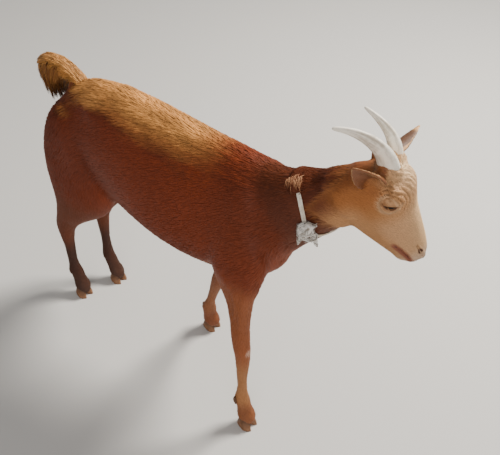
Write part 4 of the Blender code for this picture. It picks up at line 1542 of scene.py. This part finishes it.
def mane_locks():
    """Hair of the nape that lies back over the collar, and a paler wisp beside it."""
    angles = np.radians(rng.uniform(*MANE_ARC, MANE_LOCKS))
    ways = [strap_way(float(angle)) for angle in angles]
    starts = []
    ahead = rng.uniform(0, 1, MANE_LOCKS) ** 2.5
    for way, share in zip(ways, ahead):
        spot = COLLAR_CENTRE + COLLAR_AXIS * (0.004 + 0.024 * float(share))
        found = skin_tree.ray_cast(spot, way)[0]
        starts.append(tuple(found or spot + way * 0.05))
    wisp = np.array(tuple(at(*CREST_AT))) + rng.normal(0, 1, (CREST_LOCKS, 3)) * CREST_SPREAD
    starts = np.concatenate((np.array(starts), wisp))
    count = len(starts)
    under = skin_points_at(starts)
    flow = lie[under] + rng.normal(0, 0.16, (count, 3))
    flow[MANE_LOCKS:] = np.array(CREST_WAY) + rng.normal(0, 0.11, (CREST_LOCKS, 3))
    steps = rng.uniform(0.0024, 0.0040, count)
    rises = np.concatenate((1 - 0.7 * ahead, rng.uniform(0.85, 1.10, CREST_LOCKS)))
    paths, normals = mane_paths(starts, flow, steps, rises)
    tones = tone[under] * 1.12
    pale = rng.uniform(0, 1, CREST_LOCKS)[:, None]
    tones[MANE_LOCKS:] = linear((124, 68, 40)) * (1 - pale) + linear((202, 150, 110)) * pale
    tones = tones * rng.normal(1.0, 0.12, count)[:, None]
    widths = rng.uniform(0.0009, 0.0015, count)
    widths[MANE_LOCKS:] *= 0.75
    return lock_mesh("coat_mane", paths, normals, widths, tones, patches_at(starts),
                     coat_finish, "coat", ("neck",))


mane = mane_locks()
print("mane:", len(mane.data.polygons), "triangles")

# %% [markdown]
# ## The skin's own look
#
# Between the tufts a little skin shows. A plain brown would shine through as gaps, so the skin
# carries the same tones a little darker, with a fine grain of hair pressed into its shading.

# %% Dress the skin
skin_look = Finish("skin", Roughness=0.62, Specular_IOR_Level=0.3)
skin_look.grain((260, 900, 520), 1.0, 4.0, 0.65, (0.30, 0.72), (0.62, 0.60, 0.58), 0.85,
                0.0006, 0.7)
wear(skin, skin_look, "coat", SKIN_NODES)
print("skin dressed")

# %% [markdown]
# ## Eyes
#
# Each eye is a ball with a bulging cornea under the lids: an amber-brown iris, a dark rim, and
# the level slit of a goat's pupil. The iris could be a picture, but a picture blurs close up.
# So its colours come from formulas on the distance to the line of sight, and a weak clear coat
# keeps the eye wet.

# %% Make the eyes
CORNEA_BULGE = 0.055
IRIS_RIM, WHITE_EDGE = (0.60, 0.70), (0.76, 0.90)      # in eyeballs' radii
SLOT_LONG, SLOT_HIGH = 0.40, 0.15


def eye_look(side, centre, corner, brow):
    """Rings and a slit, counted in eyeballs' radii from the line of sight."""
    look = Finish("eye " + side, Roughness=0.22, Specular_IOR_Level=0.12, Coat_Weight=0.12,
                  Coat_Roughness=0.04)
    here = look.place(centre)
    across = look.along(here, corner) / EYE_RADIUS
    upright = look.along(here, brow) / EYE_RADIUS
    ring = (across * across + upright * upright) ** 0.5
    rays = look.noise(here, 900, 4.0, 0.7)
    iris = look.mix((ring + rays * 0.25).between(0.30, 0.78),
                    linear((118, 74, 34)), linear((54, 31, 15)))
    rim = look.mix(ring.between(*IRIS_RIM), iris, linear((26, 16, 12)))
    white = look.mix(ring.between(*WHITE_EDGE), rim, linear((96, 70, 56)))
    slot = (across / SLOT_LONG) ** 4 + (upright / SLOT_HIGH) ** 2
    look.set("Base Color", look.mix(slot.between(0.85, 1.20), linear((6, 5, 6)), white))
    return look


def make_eye(side, sign):
    turn = np.array(TURN)
    out, corner, brow = (turn @ axis for axis in eye_axes(sign))
    centre = middle("eye_" + side)
    bpy.ops.mesh.primitive_uv_sphere_add(segments=72, ring_count=48, radius=EYE_RADIUS)
    eye = bpy.context.object
    eye.name = "seeing_eye_" + side
    points = points_of(eye)
    cornea = 1 + CORNEA_BULGE * smoothstep(0.80, 0.97, points[:, 2] / EYE_RADIUS)
    points = points * cornea[:, None]
    points = points @ np.stack((corner, np.cross(out, corner), out)) + np.array(centre)
    move_points(eye, points)
    wear(eye, eye_look(side, centre, corner, brow), "eye", ("eye_" + side,))
    return eye


eyes = [make_eye("right", -1), make_eye("left", 1)]
print("eyes:", [eye.name for eye in eyes])

# %% [markdown]
# ## Horns
#
# A doe's horns are thin, flat at the sides and ringed, with rings that crowd towards the root.
# A bevelled curve would be quicker, but it keeps one plain section all the way. So sections
# are laid one by one along the same curves as the solids', each with a blunt keel in front and
# its place in a ring. Pale horn is streaked grey-brown along its length.

# %% Make the horns
HORNS = {
    "right": ((0.235, -0.080, -0.075), (0.080, -0.100, 0.115),
              (-0.190, -0.130, 0.030), (-0.340, -0.215, -0.130)),
    "left": ((0.235, 0.070, -0.075), (0.105, 0.085, 0.130),
             (-0.105, 0.100, 0.070), (-0.235, 0.175, -0.022)),
}
HORN_ROOT = {"right": (0.0190, 0.0105), "left": (0.0145, 0.0095)}
HORN_STATIONS, HORN_SIDES = 150, 48
HORN_RINGS, RING_DEPTH = 34, 0.045
HORN_TIP = 0.955                              # from here the tip is rounded off


def bezier(points, t):
    """A place on a cubic curve, t from 0 to 1."""
    a, b, c, d = points
    return a * (1 - t) ** 3 + b * 3 * (1 - t) ** 2 * t + c * 3 * (1 - t) * t * t + d * t**3


def tube(name, rings):
    """A closed skin over rings of points, each end drawn to its middle."""
    stations, sides = rings.shape[:2]
    ends = rings[:1].mean(axis=1), rings[-1:].mean(axis=1)
    points = np.concatenate((rings.reshape(-1, 3), *ends))
    faces = grid_faces(stations, sides)
    low, high = stations * sides, stations * sides + 1
    for j in range(sides):
        k = (j + 1) % sides
        faces.append((low, k, j))
        faces.append((high, (stations - 1) * sides + j, (stations - 1) * sides + k))
    return tidy_mesh(new_piece(name, points, faces), 1e-7)


def horn_ring(side, t, angles):
    """One section: a keeled oval, on the crest or in the groove of a growth ring."""
    curve = [on_head(*spot) for spot in HORNS[side]]
    along = (bezier(curve, min(1, t + 0.02)) - bezier(curve, max(0, t - 0.02))).normalized()
    beside = laid(TURN.col[1], along)
    front = along.cross(beside)
    deep = HORN_ROOT[side][0] * (1 - 0.86 * t**1.1)
    wide = HORN_ROOT[side][1] * (1 - 0.76 * t**1.3)
    blunt = math.sqrt(max(0.0, 1 - max(0.0, (t - HORN_TIP) / 0.045) ** 2))
    wave = (HORN_RINGS * t**0.85) % 1.0
    ring = 1 + RING_DEPTH * (1 - t) ** 1.2 * (wave**1.6 - 0.4)
    rows = []
    for angle in angles:
        c, s = math.cos(angle), math.sin(angle)
        rough = 1 + 0.012 * noise.noise(Vector((c * 3, s * 3, t * 26)))
        size = blunt * ring * rough * (1 - 0.05 * s * s * (s > 0) * (1 - abs(c)))
        rows.append(bezier(curve, t) + beside * (c * wide * size) + front * (s * deep * size))
    return rows


def horn_tone(angles):
    """Pale horn, greyer in streaks and bands towards the tip, and dark at the root."""
    rows = []
    for t in np.linspace(0, 1, HORN_STATIONS):
        for angle in angles:
            spot = Vector((math.cos(angle) * 2.0, math.sin(angle) * 2.0, t * 4.0))
            streak = 0.5 + 0.5 * noise.noise(spot) + 0.35 * noise.noise(spot * 3.1)
            band = 0.5 + 0.5 * noise.noise(Vector((t * 26, 4.0, 2.0)))
            grey = smoothstep(0.40, 1.05, streak + 0.25 * band)
            grey *= 0.35 + 0.65 * smoothstep(0.15, 0.5, t)
            horn = linear((254, 248, 234)) * (1 - grey) + linear((196, 184, 166)) * grey
            rows.append(horn * (1 - 0.35 * smoothstep(0.09, 0.02, t)))
    return np.clip(np.array([*rows, rows[0], rows[-1]]), 0, 1)


def make_horn(side):
    angles = np.linspace(0, math.tau, HORN_SIDES, endpoint=False)
    rings = np.array([[tuple(place) for place in horn_ring(side, t, angles)]
                      for t in np.linspace(0, 1, HORN_STATIONS)])
    rings[-1] = rings[-2] * 0.5 + rings[-1] * 0.5
    horn = tube("ringed_horn_" + side, rings)
    give_tone(horn, horn_tone(angles))
    look = Finish("horn " + side, Roughness=0.42, Specular_IOR_Level=0.45)
    look.grain((1, 1, 1), 420, 5.0, 0.6, (0.25, 0.75), (0.88, 0.86, 0.84), 0.7, 0.0005, 0.5)
    wear(horn, look, "horn", ("horn_" + side,))
    return horn


horns = [make_horn("right"), make_horn("left")]
print("horns:", [len(horn.data.polygons) for horn in horns], "faces")

# %% [markdown]
# ## Hooves
#
# A goat walks on two claws a foot, blunt in front and flat below, with two dewclaws behind.
# The claws could be modelled anew, but their solids already stand where the feet are. So they
# are copies, subdivided and eased, made blunter and leant on their twins. Growth rings run
# round them, and the wall is worn pale towards the ground.

# %% Make the hooves
HOOF_RING_STEP, HOOF_RING_HEIGHT = 0.0034, 0.00016
HOOF_ROUGH, SOLE_HEIGHT = 0.0003, 0.0016


def eased_copy(node, levels, rounds):
    """A copy of a solid with its doubles merged, finer and with softened edges."""
    made = in_scene("copy_" + node, NODES[node].data.copy())
    made.matrix_world = NODES[node].matrix_world.copy()
    only(made)
    bpy.ops.object.transform_apply(location=True, rotation=True, scale=True)
    tidy_mesh(made, 1e-5)
    finer = made.modifiers.new("finer", "SUBSURF")
    finer.subdivision_type = "SIMPLE"
    finer.levels = finer.render_levels = levels
    ease = made.modifiers.new("ease", "SMOOTH")
    ease.factor, ease.iterations = 0.5, rounds
    return apply_all(made)


def joined(name, pieces):
    only(*pieces)
    bpy.ops.object.join()
    whole_piece = bpy.context.object
    whole_piece.name = name
    return whole_piece


def hoof_surface(obj):
    """Growth rings and wear on the walls, and flat soles on the floor."""
    points, normals = points_of(obj), normals_of(obj)
    height = points[:, 2]
    ring = np.sin(height * math.tau / HOOF_RING_STEP + points[:, 0] * 60)
    rough = noise_at(points, 160)
    flat = normals[:, 2] > -0.7
    relief = (ring * HOOF_RING_HEIGHT + rough * HOOF_ROUGH) * flat
    points = points + normals * relief[:, None]
    points[:, 2] = np.where(height < SOLE_HEIGHT, 0.0, np.maximum(points[:, 2], 0))
    move_points(obj, points)
    return height, rough


def blunter(claw, twin):
    """A wider, shorter toe than the plain solid has, leaning on its twin."""
    points = points_of(claw)
    centre = points.mean(axis=0)
    local = points - centre
    ahead = smoothstep(-0.5, 1.0, local[:, 0] / np.abs(local[:, 0]).max())
    local[:, 1] *= 1.06 + 0.34 * ahead
    local[:, 0] *= 0.95
    local[:, 2] = points[:, 2] * 1.16 - centre[2]
    lean = (0.14 + 0.34 * smoothstep(0.006, 0.030, points[:, 2]))[:, None]
    move_points(claw, centre + local + (twin - centre) * (0.5, 0.5, 0) * lean)
    return claw


def twin_of(node):
    """The other claw of the same foot; a dewclaw leans on none."""
    if node.startswith("dewclaw"):
        return node
    foot, side = node.rsplit("_", 1)
    return foot + "_" + {"outer": "inner", "inner": "outer"}[side]


claws = {node: eased_copy(node, 2, 2) for node in CLAW_NODES}
middles = {node: points_of(claw).mean(axis=0) for node, claw in claws.items()}
hooves = joined("hooves", [blunter(claw, middles[twin_of(node)]) for node, claw in claws.items()])
height, rough = hoof_surface(hooves)
share = smoothstep(0.026, 0.004, height)[:, None]
hoof_tone = linear((96, 64, 42)) * (1 - share) + linear((142, 100, 70)) * share
give_tone(hooves, np.clip(hoof_tone * (1 + 0.35 * rough)[:, None], 0, 1))
hoof_look = Finish("hoof", Roughness=0.55, Specular_IOR_Level=0.35)
hoof_look.grain((300, 300, 1400), 1.0, 4.0, 0.6, (0.25, 0.75), (0.70, 0.67, 0.64), 0.8,
                0.0005, 0.6)
wear(hooves, hoof_look, "claw", CLAW_NODES)
print("hooves:", len(hooves.data.polygons), "faces")

# %% [markdown]
# ## Collar
#
# The collar is a flat cord laid double. A strip bent by a curve would cut into the uneven
# neck. So two ribbons run round the neck side by side, their path found by casting rays at the
# strap's solid and at the skin. On the goat's right they hang a little along the neck from the
# solid, where the knot draws them down.

# %% Lay the collar's two strands
STRAND_STATIONS, STRAND_SIDES = 260, 12
STRAND_WIDE, STRAND_THICK = 0.00215, 0.00115  # half of each
STRAND_SHIFT = 0.0022
ON_SKIN = 0.0022                              # from the skin to the cord's middle
RAY = 0.3
HANG_PLACE, HANG_NORMAL = (0.0692, -0.0206, 0.5998), Vector((0.718, 0.655, 0.234))
HANG_REACH = 0.026


def strap_radius(way):
    """How far out the cord lies: in the strap's solid, or closer where the skin draws in."""
    inner = strap.ray_cast(COLLAR_CENTRE, way)[3]
    outer = strap.ray_cast(COLLAR_CENTRE + way * RAY, -way)[3]
    neck = skin_tree.ray_cast(COLLAR_CENTRE, way)[3]
    found = [] if neck is None else [neck + ON_SKIN]
    if inner is not None and outer is not None:
        found.append((inner + RAY - outer) / 2)
    return min(found, default=None)


def slide(spot, degrees):
    """How far the cord slides along the neck on its right side, where it hangs straight."""
    away = -(spot - at(*HANG_PLACE)).dot(HANG_NORMAL) / COLLAR_AXIS.dot(HANG_NORMAL)
    hold = smoothstep(-178, -150, degrees) * smoothstep(12, -44, degrees)
    return COLLAR_AXIS * (max(-HANG_REACH, min(HANG_REACH, away)) * float(hold))


def strand(name, shift, phase):
    """One flat ribbon round the neck, beside its twin by a shift, uneven by its phase."""
    rings, radius = [], 0.07
    for angle in np.linspace(0, math.tau, STRAND_STATIONS, endpoint=False):
        way = strap_way(float(angle))
        radius = strap_radius(way) or radius
        wave = noise.noise(Vector((math.cos(angle) * 3, math.sin(angle) * 3, phase)))
        degrees = math.degrees(angle) - (360 if angle > math.pi else 0)
        slid = Vector((0, 0, 0))
        for _ in range(3):
            slid = slide(COLLAR_CENTRE + way * radius, degrees)
            found = skin_tree.ray_cast(COLLAR_CENTRE + slid + COLLAR_AXIS * shift, way)[3]
            if slid.length > 0.0005 and found:
                radius = found + 0.0020
        centre = (COLLAR_CENTRE + slid + way * (radius + 0.0003 * wave)
                  + COLLAR_AXIS * (shift + 0.0005 * wave))
        lean = 0.22 * noise.noise(Vector((math.cos(angle) * 5, math.sin(angle) * 5, phase + 7)))
        flat = COLLAR_AXIS * math.cos(lean) + way * math.sin(lean)
        thick = way * math.cos(lean) - COLLAR_AXIS * math.sin(lean)
        ring = []
        for i in range(STRAND_SIDES):
            turn = math.tau * i / STRAND_SIDES
            c, s = math.cos(turn), math.sin(turn)
            ring.append(tuple(centre + flat * (STRAND_WIDE * math.copysign(abs(c) ** 0.7, c))
                              + thick * (STRAND_THICK * math.copysign(abs(s) ** 0.8, s))))
        rings.append(ring)
    points = np.array(rings).reshape(-1, 3)
    faces = grid_faces(STRAND_STATIONS, STRAND_SIDES, closed_rows=True)
    return tidy_mesh(new_piece(name, points, faces), 1e-7)


def cord_look(name, roughness):
    look = Finish(name, Roughness=roughness, Specular_IOR_Level=0.3)
    look.grain((1, 1, 1), 1500, 3.0, 0.6, (0.30, 0.70), (0.72, 0.70, 0.67), 0.85, 0.0005, 0.7)
    return look


def stain(points, clean, soiled, scale):
    """Clean cord with soiled patches."""
    share = smoothstep(-0.1, 0.7, noise_at(points, scale))
    return linear(clean) + (linear(soiled) - linear(clean)) * share[:, None]


cord = joined("collar_cord", [strand("strand_upper", STRAND_SHIFT, 1.0),
                              strand("strand_lower", -STRAND_SHIFT, 5.0)])
give_tone(cord, stain(points_of(cord), (244, 236, 222), (196, 176, 150), 60))
wear(cord, cord_look("cord", 0.8), "strap", ("collar",))
print("collar cord:", len(cord.data.polygons), "faces")

# %% [markdown]
# ## The knot
#
# The ends of the cord are tied in a lump of worn, torn strands. A tied knot could be
# simulated, but a tight one is mostly loops pressed flat. So the knot is a roughened copy of
# its solid, and seventy strips wander over it and stand a little off at their ends. Both are
# turned and moved as one, so that the ends hang down under the cord.

# %% Tie the knot
KNOT_STRIPS, STRIP_STATIONS = 70, 9


def knot_strips():
    """Torn strips that wander over the knot's solid and stand a little off it."""
    tree = tree_of(NODES["collar_knot"])
    points = points_of(NODES["collar_knot"])
    paths, normals = [], []
    for index in rng.choice(len(points), KNOT_STRIPS):
        spot, normal, face, gap = tree.find_nearest(Vector(points[index]))
        way = laid(Vector(rng.normal(0, 1, 3)), normal)
        step = rng.uniform(0.0014, 0.0030)
        path, facing = [], []
        height = rng.uniform(0.0002, 0.0010)
        for station in range(STRIP_STATIONS):
            rise = height + 0.0022 * max(0, station - 6) * rng.uniform(0.2, 1.0)
            path.append(tuple(spot + normal * rise))
            facing.append(tuple(normal))
            way = (way + Vector(rng.normal(0, 0.30, 3))).normalized()
            spot, normal, face, gap = tree.find_nearest(spot + way * step)
            way = laid(way, normal)
        paths.append(path)
        normals.append(facing)
    widths = rng.uniform(0.0016, 0.0036, KNOT_STRIPS)
    greys = rng.uniform(0.0, 1.0, KNOT_STRIPS)[:, None]
    tones = linear((242, 240, 236)) * (1 - greys) + linear((178, 168, 156)) * greys
    strips = lock_mesh("knot_strips", np.array(paths), np.array(normals), widths, tones,
                       np.zeros((KNOT_STRIPS, 2)), knot_look, "strap", ("collar_knot",))
    strips.data.uv_layers.remove(strips.data.uv_layers[0])
    return strips


def knot_core():
    """The lump of the knot under its strips."""
    core = eased_copy("collar_knot", 2, 3)
    core.name = "knot_core"
    points = points_of(core)
    rough = noise_at(points, 260)
    move_points(core, points + normals_of(core) * (rough * 0.0011 - 0.0002)[:, None])
    give_tone(core, stain(points, (232, 228, 222), (140, 126, 112), 170))
    wear(core, knot_look, "strap", ("collar_knot",))
    return core


KNOT_PLACE, KNOT_OUT = (0.1061, -0.0376, 0.5388), Vector((0.50, -0.83, -0.25)).normalized()
KNOT_SWING, KNOT_SIZE = math.radians(-38), 1.12


def hang(piece, centre):
    """Turns the knot so that its ends hang down, and lays it on the skin under the cord."""
    turn = strap_way(math.radians(-68)).rotation_difference(KNOT_OUT).to_matrix()
    turn = np.array(Matrix.Rotation(KNOT_SWING, 3, KNOT_OUT) @ turn)
    points = (points_of(piece) - centre) @ turn.T * KNOT_SIZE + np.array(tuple(at(*KNOT_PLACE)))
    move_points(piece, points)


knot_look = cord_look("torn cord", 0.7)
knot = [knot_core(), knot_strips()]
knot_middle = points_of(knot[0]).mean(axis=0)
for piece in knot:
    hang(piece, knot_middle)
print("knot:", [len(piece.data.polygons) for piece in knot], "faces")

# %% [markdown]
# ## Floor and light
#
# A plain pale floor leaves the goat alone in the view. One large soft light from the goat's
# left and above gives the coat its relief, and a weak wide one from the other side opens the
# shade. A single small light would be closer to sun, but its hard shadows would hide the hair.

# %% Set the stage
LIGHTS = (                    # name, way from the goat, distance, size, power, colour
    ("key", (0.22, 0.66, 0.74), 2.6, 0.9, 150, (1.0, 0.95, 0.87)),
    ("fill", (0.75, -0.95, 0.60), 2.4, 2.6, 46, (1.0, 0.95, 0.90)),
)


def area_light(name, place, target, size, power, colour):
    data = bpy.data.lights.new(name, "AREA")
    data.shape, data.size, data.energy, data.color = "DISK", size, power, colour
    lamp = in_scene(name, data)
    lamp.location = place
    lamp.rotation_euler = (target - place).to_track_quat("-Z", "Y").to_euler()


bpy.ops.mesh.primitive_plane_add(size=14)
floor = bpy.context.object
floor.name = "floor"
floor_look = Finish("floor", Base_Color=(0.62, 0.61, 0.59, 1), Roughness=0.9)
floor.data.materials.append(floor_look.material)
target = at(-0.12, 0, 0.42)
for name, way, distance, size, power, colour in LIGHTS:
    area_light(name, target + Vector(way) * distance, target, size, power, colour)
world = bpy.data.worlds.new("studio")
world.use_nodes = True
sky = world.node_tree.nodes["Background"].inputs
sky["Color"].default_value = (0.86, 0.85, 0.84, 1)
sky["Strength"].default_value = 0.40
bpy.context.scene.world = world
print("stage set")

# %% [markdown]
# ## Last step
#
# The view layer is brought up to date.

# %% Bring the view layer up to date
bpy.context.view_layer.update()
